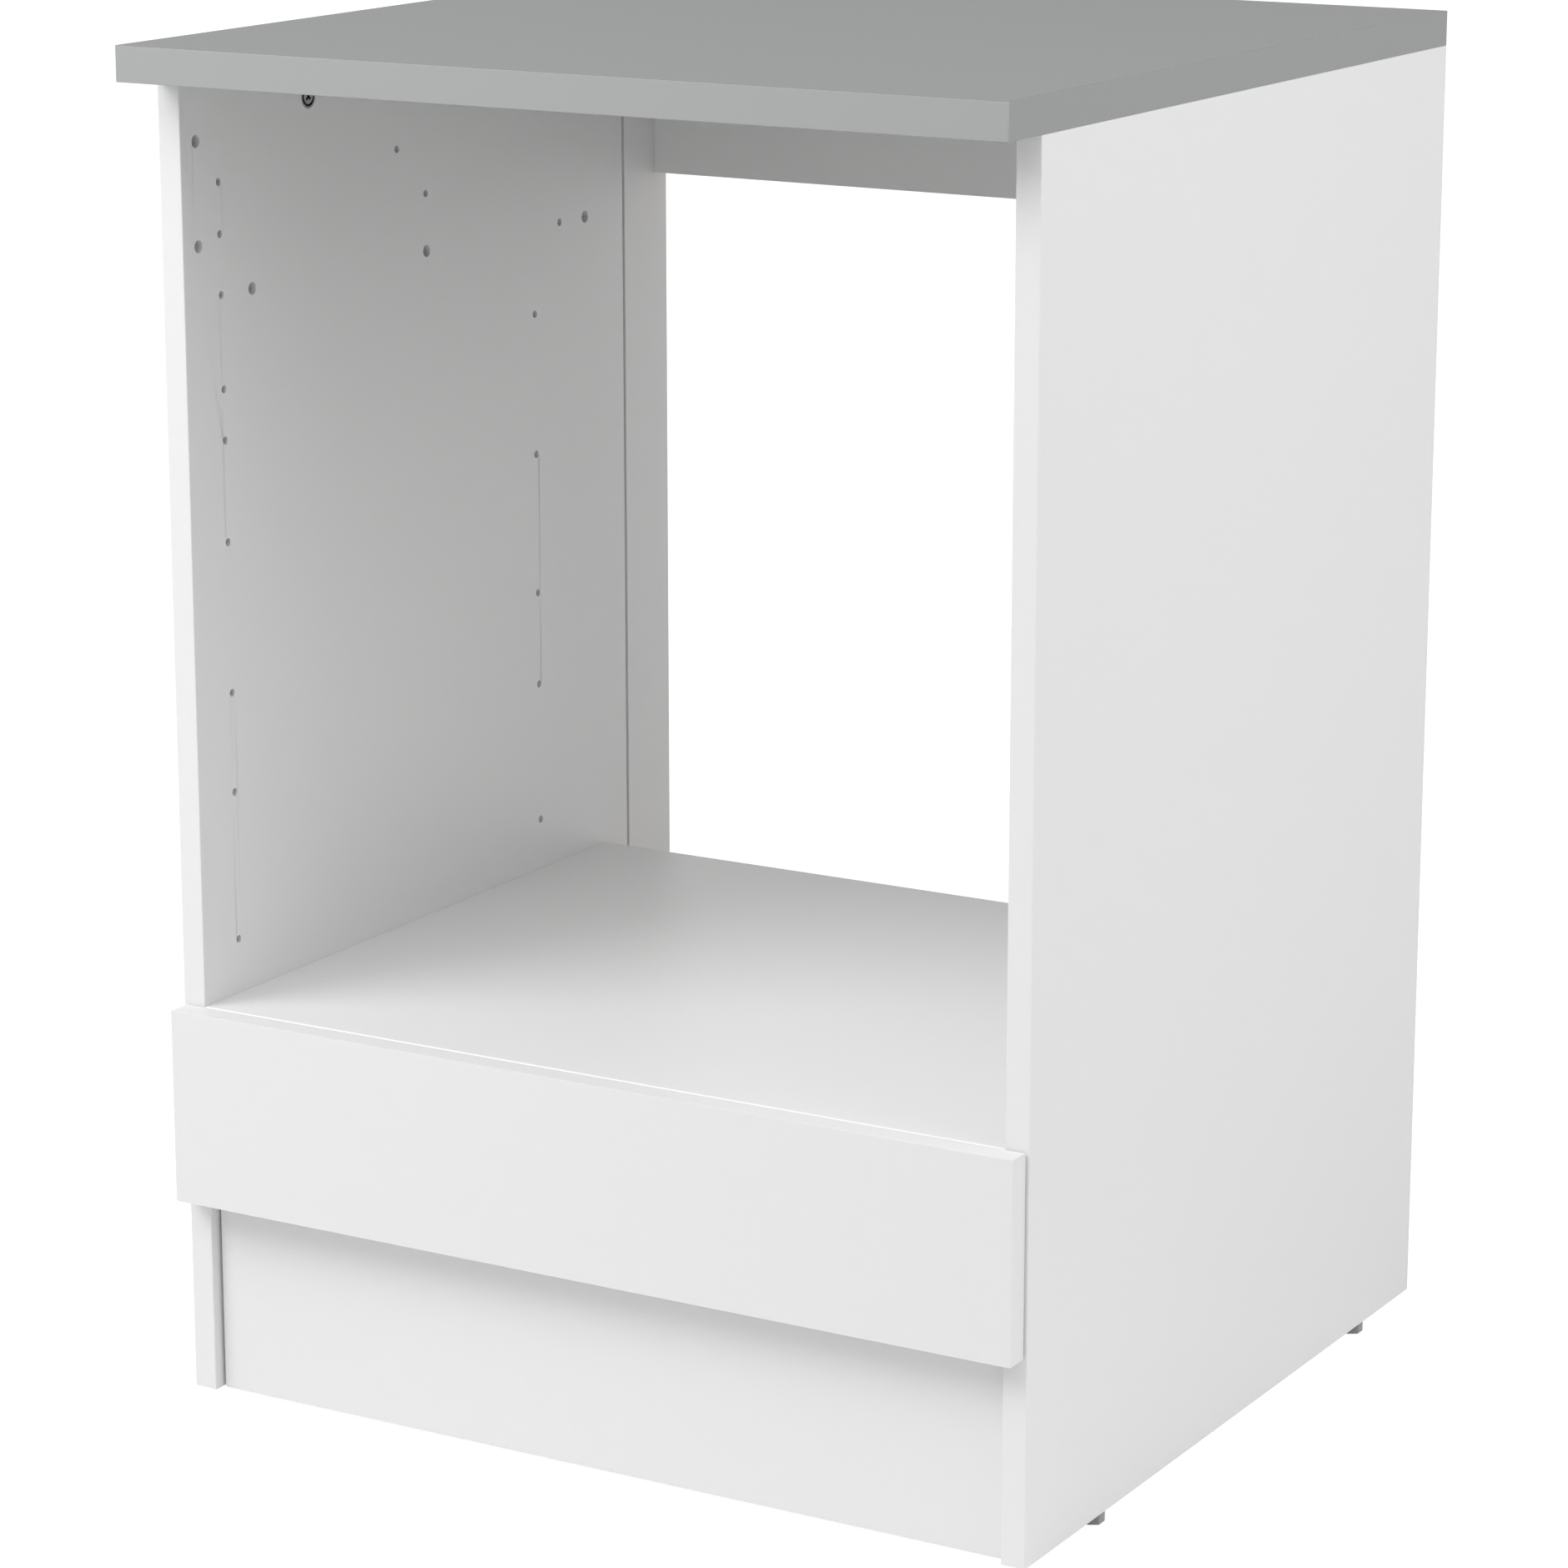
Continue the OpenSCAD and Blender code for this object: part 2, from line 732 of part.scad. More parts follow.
// Room over the front of the cabinet's runner, where its web has no flange
module front_clearance() {
    over = track_h + sheet_t + cut;
    translate([-cut, 0, 0]) rotate([90, 0, 90]) linear_extrude(track_w + 2 * cut) polygon([
        [-cut, front_web_h],
        [top_flange_from - front_web_slope, front_web_h],
        [top_flange_from, track_h - bend_r],
        [top_flange_from, over],
        [-cut, over]
    ]);
}

// Tab of sheet that stands on the track from y onwards
module track_tab(y, h) {
    translate([roller_s, y, -sheet_t / 2]) cube([stop_w, sheet_t, h + sheet_t / 2]);
}

module cabinet_runner(side) {
    stop_reach = sqrt(pow(roller_r, 2) - pow(roller_z - stop_h, 2));
    stop_y = rear_roller_y - drawer_travel - stop_reach - sheet_t - loose_gap - front_y - runner_setback;
    color("whitesmoke") difference() {
        at_runner(side, front_y + runner_setback) {
            difference() {
                extruded_y(runner_l) cabinet_section();
                front_clearance();
                corners_off(track_w, -sheet_t, [0, runner_l]);
                corners_off(track_w, track_h, [top_flange_from, runner_l]);
                translate([-cut, front_roller_in, roller_z])
                    rod_x(roller_pin_d, 0, sheet_t + 2 * cut);
                translate([roller_s, stop_y - stop_h, -sheet_t - cut])
                    cube([stop_w, stop_h, sheet_t + 2 * cut]);
            }
            track_tab(stop_y, stop_h);
            track_tab(runner_l - sheet_t, rear_stop_h);
        }
        at_runner_screws(side) translate([0, 0, -cut])
            cylinder(d = pin_hole_d, h = sheet_t + 2 * cut);
        at_runner_rows(side, runner_slot_n) rotate([0, 0, 90]) slotted();
    }
}

module drawer_runner(side) {
    color("whitesmoke") difference() {
        at_runner(side, drawer_y) difference() {
            extruded_y(runner_l) drawer_section();
            corners_off(roller_s, flange_z, [0, runner_l]);
            corners_off(slide_gap + side_flange_w, -under_side - sheet_t, [0, runner_l]);
            translate([drawer_web_s - cut, runner_l - rear_roller_in, roller_z])
                rod_x(roller_pin_d, 0, sheet_t + 2 * cut);
            for (n = drawer_slot_n)
                facing([drawer_web_s, n * grid, roller_z], [1, 0, 0]) slotted();
            for (y = side_screw_y)
                facing([slide_gap + side_flange_w / 2, y + flange_slot_in, -under_side - sheet_t], UP)
                    rotate([0, 0, 90]) slotted();
        }
        at_side_screws(side) translate([0, 0, -2 * sheet_t])
            cylinder(d = small_shank_d, h = 4 * sheet_t);
    }
}

// Roller: a rim and a hub joined by a thin disc, from x = 0 to x = roller_w,
// with its hub set back at the far end for the rivet's head
module roller() {
    mid = roller_w / 2;
    bore_r = roller_pin_d / 2 + run_fit;
    color("white") rotate([0, 90, 0]) rotate_extrude() polygon([
        [bore_r, 0],
        [roller_hub_r, 0],
        [roller_hub_r, mid - roller_web_t / 2],
        [roller_r - roller_rim_t, mid - roller_web_t / 2],
        [roller_r - roller_rim_t, 0],
        [roller_r, 0],
        [roller_r, roller_w],
        [roller_r - roller_rim_t, roller_w],
        [roller_r - roller_rim_t, mid + roller_web_t / 2],
        [roller_hub_r, mid + roller_web_t / 2],
        [roller_hub_r, roller_w - roller_hub_set],
        [bore_r, roller_w - roller_hub_set]
    ]);
}

// Riveted pin that a roller turns on: through the sheet behind x = 0, with a
// shoulder up to the roller and a head in the roller's recess
module roller_pin(shoulder) {
    hub_end = shoulder + loose_gap / 2 + roller_w - roller_hub_set;
    color("silver") {
        rod_x(roller_pin_d - 2 * seat_fit, -sheet_t, 0);
        rod_x(2 * shoulder_r, 0, shoulder);
        rod_x(roller_pin_d, shoulder, hub_end + loose_gap / 2);
        rod_x(2 * rivet_r, hub_end + loose_gap / 2, hub_end + loose_gap / 2 + rivet_h);
    }
}

// Frames on the sheets that carry the rollers: own X points at the roller
module at_cabinet_pin(side) {
    at_runner(side, front_roller_y) translate([sheet_t, 0, roller_z]) children();
}

module at_drawer_pin(side) {
    at_runner(side, rear_roller_y) translate([drawer_web_s, 0, roller_z]) mirror([1, 0, 0]) children();
}

module cabinet_roller(side) {
    at_cabinet_pin(side) translate([cabinet_shoulder + loose_gap / 2, 0, 0]) roller();
}

module drawer_roller(side) {
    at_drawer_pin(side) translate([drawer_shoulder + loose_gap / 2, 0, 0]) roller();
}

module drawer_front() {
    color("white") difference() {
        translate([-half_w + front_reveal, drawer_y - board_t, front_z])
            cube([cabinet_w - 2 * front_reveal, board_t, front_h]);
        translate([-drawer_in_x - base_groove, drawer_y - base_groove, base_z_low])
            cube([2 * (drawer_in_x + base_groove), base_groove + cut, base_t + loose_gap]);
        for (side = SIDES) {
            at_drawer_dowel(side) rod_x(dowel_d, -cut, dowel_seat);
            at_drawer_cam(side) translate([cam_inset, 0, -bolt_depth])
                rod_x(pin_hole_d, -cut, pin_hole_depth);
        }
    }
}

module drawer_side(side) {
    color("white") difference() {
        translate([side > 0 ? drawer_in_x : -drawer_out_x, drawer_y, side_z])
            cube([board_t, runner_l, drawer_side_h]);
        translate([side * drawer_in_x - base_groove, drawer_y - cut, base_z_low])
            cube([2 * base_groove, runner_l + 2 * cut, base_t + loose_gap]);
        at_drawer_cam(side) cam_pocket();
        at_drawer_dowel(side) dowel_hole();
        at_back_screws(side) flat_hole();
        at_side_screws(side) drilled(small_shank_d, small_screw_l + sheet_t);
    }
}

// Sunk hole of a flat screw, through a drawer side
module flat_hole() {
    translate([0, 0, -flat_head_h])
        cylinder(d1 = small_shank_d, d2 = flat_head_d, h = flat_head_h);
    translate([0, 0, -board_t - cut]) cylinder(d = small_shank_d + 2 * seat_fit, h = board_t + 2 * cut);
    cylinder(d = flat_head_d, h = cut);
}

module drawer_back() {
    color("white") difference() {
        translate([-drawer_in_x, drawer_rear_y - board_t, base_z_top])
            cube([2 * drawer_in_x, board_t, side_z + drawer_side_h - base_z_top]);
        for (side = SIDES)
            at_back_screws(side) drilled(small_shank_d, back_screw_l + cut);
        at_base_screws() drilled(small_shank_d, small_screw_l + base_t);
    }
}

module drawer_base() {
    reach = drawer_in_x + base_groove - loose_gap;
    front = drawer_y - base_groove + loose_gap;
    color("whitesmoke") difference() {
        translate([-reach, front, base_z_low]) cube([2 * reach, drawer_rear_y - front, base_t]);
        at_base_screws() drilled(small_shank_d, base_t + cut);
    }
}

module drawer_bumpers() {
    color("gainsboro") for (side = SIDES, z = [front_z + bumper_in, front_z + front_h - bumper_in])
        facing([side * panel_mid_x, drawer_y, z], BACKWARD) cylinder(d = bumper_d, h = bumper_t);
}

// Groups of like fittings
module worktop_cam(side, place) {
    at_worktop_cam(side, worktop_cam_n[place]) cam();
}

module worktop_bolts() {
    for (side = SIDES, n = worktop_cam_n)
        at_worktop_cam(side, n) bolt();
}

module foot_sleeves() {
    for (side = SIDES, y = [foot_front_y, foot_rear_y])
        at_foot(side, y) foot_sleeve();
}

module cabinet_runner_screws() {
    for (side = SIDES)
        at_runner_screws(side) translate([0, 0, sheet_t])
            pan_screw(runner_head_d, runner_head_h, bolt_thread_d, runner_shank_l + sheet_t);
}

module cabinet_roller_pins() {
    for (side = SIDES)
        at_cabinet_pin(side) roller_pin(cabinet_shoulder);
}

module drawer_cams() {
    for (side = SIDES)
        at_drawer_cam(side) cam();
}

module drawer_bolts() {
    for (side = SIDES)
        at_drawer_cam(side) bolt();
}

module drawer_dowels() {
    for (side = SIDES)
        at_drawer_dowel(side) dowel();
}

module drawer_back_screws() {
    for (side = SIDES)
        at_back_screws(side) flat_screw(back_screw_l);
}

module drawer_base_screws() {
    at_base_screws() small_screw(base_t);
}

module drawer_runner_screws() {
    for (side = SIDES)
        at_side_screws(side) small_screw(sheet_t);
}

module drawer_roller_pins() {
    for (side = SIDES)
        at_drawer_pin(side) roller_pin(drawer_shoulder);
}

side_panel(LEFT);  // side_panel_left
side_panel(RIGHT);  // side_panel_right
side_edging(LEFT);  // side_edging_left
side_edging(RIGHT);  // side_edging_right
bottom_panel();
cross_edging(bottom_z);  // bottom_panel_edging
cross_board(shelf_z);  // oven_shelf
cross_edging(shelf_z);  // oven_shelf_edging
rear_rail();
plinth_panel();
worktop_board();
worktop_front_edging();
worktop_side_edgings();
worktop_cam(LEFT, 0);  // worktop_cam_front_left
worktop_cam(RIGHT, 0);  // worktop_cam_front_right
worktop_cam(LEFT, 1);  // worktop_cam_rear_left
worktop_cam(RIGHT, 1);  // worktop_cam_rear_right
worktop_bolts();
at_board_cams(shelf_z) cam();  // oven_shelf_cams
at_board_cams(shelf_z) bolt();  // oven_shelf_bolts
at_board_dowels(shelf_z) dowel();  // oven_shelf_dowels
at_board_cams(bottom_z) cam();  // bottom_panel_cams
at_board_cams(bottom_z) bolt();  // bottom_panel_bolts
at_board_dowels(bottom_z) dowel();  // bottom_panel_dowels
at_rail_cams() cam();  // rail_cams
at_rail_cams() bolt();  // rail_bolts
at_rail_dowels() dowel();  // rail_dowels
foot_sleeves();
at_foot(LEFT, foot_front_y) foot();  // foot_front_left
at_foot(RIGHT, foot_front_y) foot();  // foot_front_right
at_foot(LEFT, foot_rear_y) foot();  // foot_rear_left
at_foot(RIGHT, foot_rear_y) foot();  // foot_rear_right
plinth_brackets();
plinth_screws();
cabinet_runner(LEFT);  // cabinet_runner_left
cabinet_runner(RIGHT);  // cabinet_runner_right
cabinet_runner_screws();
cabinet_roller(LEFT);  // cabinet_roller_left
cabinet_roller(RIGHT);  // cabinet_roller_right
cabinet_roller_pins();
drawer_front();
drawer_side(LEFT);  // drawer_side_left
drawer_side(RIGHT);  // drawer_side_right
drawer_back();
drawer_base();
drawer_cams();
drawer_bolts();
drawer_dowels();
drawer_back_screws();
drawer_base_screws();
drawer_runner(LEFT);  // drawer_runner_left
drawer_runner(RIGHT);  // drawer_runner_right
drawer_runner_screws();
drawer_roller(LEFT);  // drawer_roller_left
drawer_roller(RIGHT);  // drawer_roller_right
drawer_roller_pins();
drawer_bumpers();
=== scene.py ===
"""Oven base cabinet of white melamine boards with a grey laminate worktop.

The frame brings every board and fitting at its place. This script gives each of them its finish,
eases their edges, replaces the plain strips, screws, bolts, dowels and feet with rounded, threaded
and fluted ones at the same places, and sets up a white studio with the photograph's camera.
"""

import json
import math

import bmesh
import bpy
from mathutils import Matrix, Vector


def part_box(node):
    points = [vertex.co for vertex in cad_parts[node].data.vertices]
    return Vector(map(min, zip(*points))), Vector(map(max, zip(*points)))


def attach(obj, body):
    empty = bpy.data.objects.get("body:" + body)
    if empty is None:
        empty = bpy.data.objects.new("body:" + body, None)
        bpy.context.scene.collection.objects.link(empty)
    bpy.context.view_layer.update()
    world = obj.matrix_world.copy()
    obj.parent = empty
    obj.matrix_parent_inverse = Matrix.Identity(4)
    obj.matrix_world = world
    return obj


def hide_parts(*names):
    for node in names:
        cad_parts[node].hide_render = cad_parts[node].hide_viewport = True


MM = 0.001
# Points of a mesh closer than this are one
SAME_POINT = 0.002 * MM

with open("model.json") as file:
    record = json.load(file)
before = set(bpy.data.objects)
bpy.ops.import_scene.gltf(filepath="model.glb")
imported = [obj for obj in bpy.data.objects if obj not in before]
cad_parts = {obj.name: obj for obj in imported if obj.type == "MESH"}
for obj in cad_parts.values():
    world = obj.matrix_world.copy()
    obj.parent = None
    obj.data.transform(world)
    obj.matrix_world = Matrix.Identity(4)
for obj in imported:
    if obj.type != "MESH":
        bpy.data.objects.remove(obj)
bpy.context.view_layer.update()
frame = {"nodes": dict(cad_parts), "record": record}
shell = frame["nodes"]
record = frame["record"]
body_of = {node: body for body, nodes in record["behaviour"]["bodies"].items() for node in nodes}

# Camera

# Where the photograph was taken from, and how far it looked round and down
CAMERA_PLACE = Vector((1.5634, -2.7114, 1.1711))
CAMERA_TURN = math.radians(30.19)
CAMERA_TILT = math.radians(14.05)
CAMERA_LENS_MM = 116.0


def place_camera():
    """The photograph's camera."""
    lens = bpy.data.cameras.new("photo_camera")
    lens.lens = CAMERA_LENS_MM
    camera = bpy.data.objects.new("photo_camera", lens)
    camera.location = CAMERA_PLACE
    camera.rotation_euler = (math.pi / 2 - CAMERA_TILT, 0, CAMERA_TURN)
    bpy.context.scene.collection.objects.link(camera)
    bpy.context.scene.camera = camera


# Materials: shared steps

# Where a Mix node of colours has its two colours, and its mixed one
MIX_A, MIX_B, MIX_OUT = 6, 7, 2


def linear(hex_colour):
    """The linear RGBA of an sRGB hex colour."""
    shares = [int(hex_colour[i : i + 2], 16) / 255 for i in (1, 3, 5)]
    return [s / 12.92 if s <= 0.04045 else ((s + 0.055) / 1.055) ** 2.4 for s in shares] + [1.0]


def wire(node, inputs):
    """Sets or links a node's inputs."""
    for socket, value in inputs.items():
        if isinstance(value, bpy.types.NodeSocket):
            node.id_data.links.new(value, node.inputs[socket])
        else:
            node.inputs[socket].default_value = value


def add(tree, kind, inputs=None, output=0, **settings):
    """Adds a shader node with its settings and inputs, and gives one of its outputs, if it has any."""
    made = tree.nodes.new("ShaderNode" + kind)
    for name, value in settings.items():
        setattr(made, name, value)
    wire(made, inputs or {})
    return made.outputs[output] if made.outputs else None


def per(size_mm):
    """The scale of a pattern that repeats about every size_mm."""
    return 1 / (size_mm * MM)


def new_material(name):
    """A new material, its tree, its shader and the place on the piece, which its patterns follow."""
    material = bpy.data.materials.new(name)
    material.use_nodes = True
    tree = material.node_tree
    return material, tree, tree.nodes["Principled BSDF"], add(tree, "TexCoord", output="Object")


# Boards

WHITE_BOARD = "#ebebeb"
WHITE_EDGING = "#ededed"
# The shelf's front edging is painted near white: a painted highlight along its seam with the drawer front
PAINTED_HIGHLIGHT_EDGING = "#fbfbfb"
# The worktop's sheet is speckled between two greys; its edgings are painted paler, the front one most, as
# painted light where the edges catch more light than the top
LAMINATE_DARK = "#858786"
LAMINATE_PALE = "#8d8f8e"
LAMINATE_FRONT_PAINTED_LIGHT = "#a6a9a8"
LAMINATE_END_PAINTED_LIGHT = "#979998"
LAMINATE_GLOSS = 0.35
BACKING_PAPER = "#a6a6a4"
CORE_DARK = "#b3966c"
CORE_PALE = "#dbc7a3"
CORE_PIT = "#80663f"
LACQUER_WHITE = "#e9e9e7"
FIBRE_DARK = "#6b4a2b"
FIBRE_PALE = "#967242"
BOARD_ROUGH = 0.42
SAWN_ROUGH = 0.9
LAMINATE_ROUGH = 0.6
GREY_EDGING_ROUGH = 0.5
# The relief of sawn chips, and what the melamine's pearls and the laminate's grain have of it
CHIP_RELIEF = {"Distance": 0.25 * MM, "Strength": 0.5}
PEARL_SHARE = 0.12
GRAIN_SHARE = 0.15

# A board's sawn face is known by how near it lies to the board's own outline and where it faces,
# so that drilled holes and grooves keep the colour of the face
FACE_REACH = 0.6 * MM
FACE_TURN = 0.7


def faces_of(tree, node, faces):
    """1 on the named outer faces of a node, such as "+y" or "-z", and 0 elsewhere."""
    low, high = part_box(node)
    place = add(tree, "TexCoord", output="Object").node
    where = add(tree, "SeparateXYZ", {"Vector": place.outputs["Object"]}).node
    facing = add(tree, "SeparateXYZ", {"Vector": place.outputs["Normal"]}).node
    total = None
    for sign, axis in faces:
        outward = 1 if sign == "+" else -1
        limit = (high if outward > 0 else low)["xyz".index(axis)]
        reach = {0: where.outputs[axis.upper()], 1: limit, 2: FACE_REACH}
        near = add(tree, "Math", reach, operation="COMPARE")
        turn = add(tree, "Math", {0: facing.outputs[axis.upper()], 1: outward}, operation="MULTIPLY")
        turned = add(tree, "Math", {0: turn, 1: FACE_TURN}, operation="GREATER_THAN")
        both = add(tree, "Math", {0: near, 1: turned}, operation="MULTIPLY")
        total = both if total is None else add(tree, "Math", {0: total, 1: both}, operation="MAXIMUM")
    return total


def chipboard_core(tree, place, thickness):
    """Colour and height of sawn chipboard: tan flakes pressed flat across the thickness, dark pits.

    A flake is about 3 mm long and 0.5 mm thick, and a pit about 0.8 mm wide."""
    scale = [per(0.5 if axis == thickness else 3.0) for axis in "xyz"]
    flat = add(tree, "Mapping", {"Vector": place, "Scale": scale})
    flakes = add(tree, "TexVoronoi", {"Vector": flat, "Scale": 1.0}, output="Color")
    tone = add(tree, "SeparateColor", {"Color": flakes})
    colours = {0: tone, MIX_A: linear(CORE_DARK), MIX_B: linear(CORE_PALE)}
    wood = add(tree, "Mix", colours, MIX_OUT, data_type="RGBA")
    fine = add(tree, "TexNoise", {"Vector": place, "Scale": per(0.8), "Detail": 3.0})
    pits = add(tree, "MapRange", {"Value": fine, "From Min": 0.56, "From Max": 0.66})
    colours = {0: pits, MIX_A: wood, MIX_B: linear(CORE_PIT)}
    colour = add(tree, "Mix", colours, MIX_OUT, data_type="RGBA")
    return colour, add(tree, "Math", {0: tone, 1: pits}, operation="SUBTRACT")


def melamine_chipboard(node, thickness, sawn):
    """Chipboard faced with melamine resin paper, pressed: an even, silky white with a pearl relief.

    Its pearls are about 0.3 mm wide, and are drawn 1.4 mm wide so that they show. The raw edges are
    sawn, and show the core."""
    material, tree, shader, place = new_material("melamine_chipboard_" + node)
    pearl = add(tree, "TexNoise", {"Vector": place, "Scale": per(1.4), "Detail": 1.0})
    low = add(tree, "Math", {0: pearl, 1: PEARL_SHARE}, operation="MULTIPLY")
    wire(shader, {"Base Color": linear(WHITE_BOARD), "Roughness": BOARD_ROUGH})
    height = low
    if sawn:
        raw = faces_of(tree, node, sawn)
        core, chips = chipboard_core(tree, place, thickness)
        colours = {0: raw, MIX_A: linear(WHITE_BOARD), MIX_B: core}
        colour = add(tree, "Mix", colours, MIX_OUT, data_type="RGBA")
        dull = {"Value": raw, "To Min": BOARD_ROUGH, "To Max": SAWN_ROUGH}
        rough = add(tree, "MapRange", dull)
        wire(shader, {"Base Color": colour, "Roughness": rough})
        height = add(tree, "Math", {0: chips, 1: raw, 2: low}, operation="MULTIPLY_ADD")
    bump = add(tree, "Bump", {"Height": height, **CHIP_RELIEF})
    wire(shader, {"Normal": bump})
    return material


def abs_edging(name, colour, roughness):
    """ABS strip, extruded, glued on and trimmed: smoother and a little brighter than its board."""
    material, tree, shader, place = new_material(name)
    skin = add(tree, "TexNoise", {"Vector": place, "Scale": per(2.0), "Detail": 1.0})
    bump = add(tree, "Bump", {"Height": skin, "Distance": 0.02 * MM, "Strength": 0.4})
    wire(shader, {"Base Color": linear(colour), "Roughness": roughness, "Normal": bump})
    return material


def laminate_sheet(tree, place):
    """Speckle and colour of the worktop's sheet. A speck of about 0.5 mm is drawn 1.5 mm wide to show."""
    speck = add(tree, "TexNoise", {"Vector": place, "Scale": per(1.5), "Detail": 2.0})
    colours = {0: speck, MIX_A: linear(LAMINATE_DARK), MIX_B: linear(LAMINATE_PALE)}
    return speck, add(tree, "Mix", colours, MIX_OUT, data_type="RGBA")


def high_pressure_laminate(node):
    """High-pressure laminate on chipboard, pressed with a fine matt grain: a flat grey.

    The rear edge is sawn, and the underside has a pale backing paper."""
    material, tree, shader, place = new_material("laminate_" + node)
    speck, face = laminate_sheet(tree, place)
    under = faces_of(tree, node, ["-z"])
    colours = {0: under, MIX_A: face, MIX_B: linear(BACKING_PAPER)}
    backed = add(tree, "Mix", colours, MIX_OUT, data_type="RGBA")
    raw = faces_of(tree, node, ["+y"])
    core, chips = chipboard_core(tree, place, "z")
    colour = add(tree, "Mix", {0: raw, MIX_A: backed, MIX_B: core}, MIX_OUT, data_type="RGBA")
    low = add(tree, "Math", {0: speck, 1: GRAIN_SHARE}, operation="MULTIPLY")
    height = add(tree, "Math", {0: chips, 1: raw, 2: low}, operation="MULTIPLY_ADD")
    bump = add(tree, "Bump", {"Height": height, **CHIP_RELIEF})
    wire(shader, {"Base Color": colour, "Roughness": LAMINATE_ROUGH, "Normal": bump})
    wire(shader, {"Specular IOR Level": LAMINATE_GLOSS})
    return material


def lapped_abs_edging(node, colour):
    """ABS strip, extruded and glued on, with the worktop's laminate lapped over its upper edge."""
    material, tree, shader, place = new_material("grey_abs_edging_" + node)
    speck, sheet = laminate_sheet(tree, place)
    lapped = faces_of(tree, node, ["+z"])
    colours = {0: lapped, MIX_A: linear(colour), MIX_B: sheet}
    shown = add(tree, "Mix", colours, MIX_OUT, data_type="RGBA")
    dull = {"Value": lapped, "To Min": GREY_EDGING_ROUGH, "To Max": LAMINATE_ROUGH}
    rough = add(tree, "MapRange", dull)
    low = add(tree, "Math", {0: speck, 1: GRAIN_SHARE}, operation="MULTIPLY")
    bump = add(tree, "Bump", {"Height": low, **CHIP_RELIEF})
    wire(shader, {"Base Color": shown, "Roughness": rough, "Normal": bump})
    wire(shader, {"Specular IOR Level": LAMINATE_GLOSS})
    return material


def lacquered_hardboard(node):
    """Hardboard, wet-pressed and lacquered: smooth and white above, brown fibres below.

    The underside keeps the print of the 1.6 mm wire screen that it was pressed on."""
    material, tree, shader, place = new_material("hardboard_" + node)
    bare = faces_of(tree, node, ["-z", "+y", "-y", "+x", "-x"])
    fibre = add(tree, "TexNoise", {"Vector": place, "Scale": per(1.2), "Detail": 4.0})
    colours = {0: fibre, MIX_A: linear(FIBRE_DARK), MIX_B: linear(FIBRE_PALE)}
    brown = add(tree, "Mix", colours, MIX_OUT, data_type="RGBA")
    colours = {0: bare, MIX_A: linear(LACQUER_WHITE), MIX_B: brown}
    colour = add(tree, "Mix", colours, MIX_OUT, data_type="RGBA")
    rough = add(tree, "MapRange", {"Value": bare, "To Min": 0.32, "To Max": 0.85})
    knots = {"Vector": place, "Scale": per(1.6), "Randomness": 0.0}
    screen = add(tree, "TexVoronoi", knots, output="Distance")
    print_height = add(tree, "Math", {0: screen, 1: bare}, operation="MULTIPLY")
    bump = add(tree, "Bump", {"Height": print_height, "Distance": 0.3 * MM, "Strength": 0.6})
    wire(shader, {"Base Color": colour, "Roughness": rough, "Normal": bump})
    return material


# Metals, mouldings and wood

ZINC_GREY = "#9a9c9d"
ZINC_PAINTED_SHADE = "#2b2c2d"
PLATED_COLD = "#b3b9be"
PLATED_WARM = "#d3d4d1"
COAT_WHITE = "#e6e5e1"
NYLON_WHITE = "#e4e2da"
PLASTIC_GREY = "#989898"
BEECH_DARK = "#b1824f"
BEECH_PALE = "#ddb98b"
SILICONE_CLEAR = "#dfe1e1"


def die_cast_zinc(node, faces):
    """Zinc alloy, die-cast: a dull grey with a mottled skin of about 2 mm, with painted shade in its
    recesses.
    """
    material, tree, shader, place = new_material("die_cast_zinc_" + node)
    skin = add(tree, "TexNoise", {"Vector": place, "Scale": per(2.0), "Detail": 3.0})
    colour = linear(ZINC_GREY)
    # Everything off the outer face is painted near black: painted shade in the recesses
    if faces:
        colours = {0: faces_of(tree, node, faces), MIX_A: linear(ZINC_PAINTED_SHADE), MIX_B: colour}
        colour = add(tree, "Mix", colours, MIX_OUT, data_type="RGBA")
    rough = add(tree, "MapRange", {"Value": skin, "To Min": 0.35, "To Max": 0.6})
    bump = add(tree, "Bump", {"Height": skin, "Distance": 0.04 * MM, "Strength": 0.5})
    wire(shader, {"Base Color": colour, "Metallic": 1.0, "Roughness": rough, "Normal": bump})
    return material


def zinc_plated_steel():
    """Steel, zinc-plated and passivated: a bright, slightly cold metal with cloudy patches."""
    material, tree, shader, place = new_material("zinc_plated_steel")
    cloud = add(tree, "TexNoise", {"Vector": place, "Scale": per(5.0), "Detail": 3.0})
    colours = {0: cloud, MIX_A: linear(PLATED_COLD), MIX_B: linear(PLATED_WARM)}
    colour = add(tree, "Mix", colours, MIX_OUT, data_type="RGBA")
    rough = add(tree, "MapRange", {"Value": cloud, "To Min": 0.22, "To Max": 0.42})
    wire(shader, {"Base Color": colour, "Metallic": 1.0, "Roughness": rough})
    return material


def powder_coated_steel():
    """Steel sheet, powder-coated: a warm white film with an orange peel of about 2.5 mm."""
    material, tree, shader, place = new_material("powder_coated_steel")
    peel = add(tree, "TexNoise", {"Vector": place, "Scale": per(2.5), "Detail": 0.0})
    bump = add(tree, "Bump", {"Height": peel, "Distance": 0.06 * MM, "Strength": 0.6})
    wire(shader, {"Base Color": linear(COAT_WHITE), "Roughness": 0.3, "Normal": bump})
    return material


def moulded_nylon():
    """Nylon, injection-moulded: milky, lets a little light in, with a dull gloss."""
    material, tree, shader, place = new_material("moulded_nylon")
    skin = add(tree, "TexNoise", {"Vector": place, "Scale": per(1.0), "Detail": 1.0})
    bump = add(tree, "Bump", {"Height": skin, "Distance": 0.03 * MM, "Strength": 0.4})
    wire(shader, {"Base Color": linear(NYLON_WHITE), "Roughness": 0.38, "IOR": 1.53, "Normal": bump})
    wire(shader, {"Subsurface Weight": 0.2, "Subsurface Scale": 1.5 * MM})
    return material


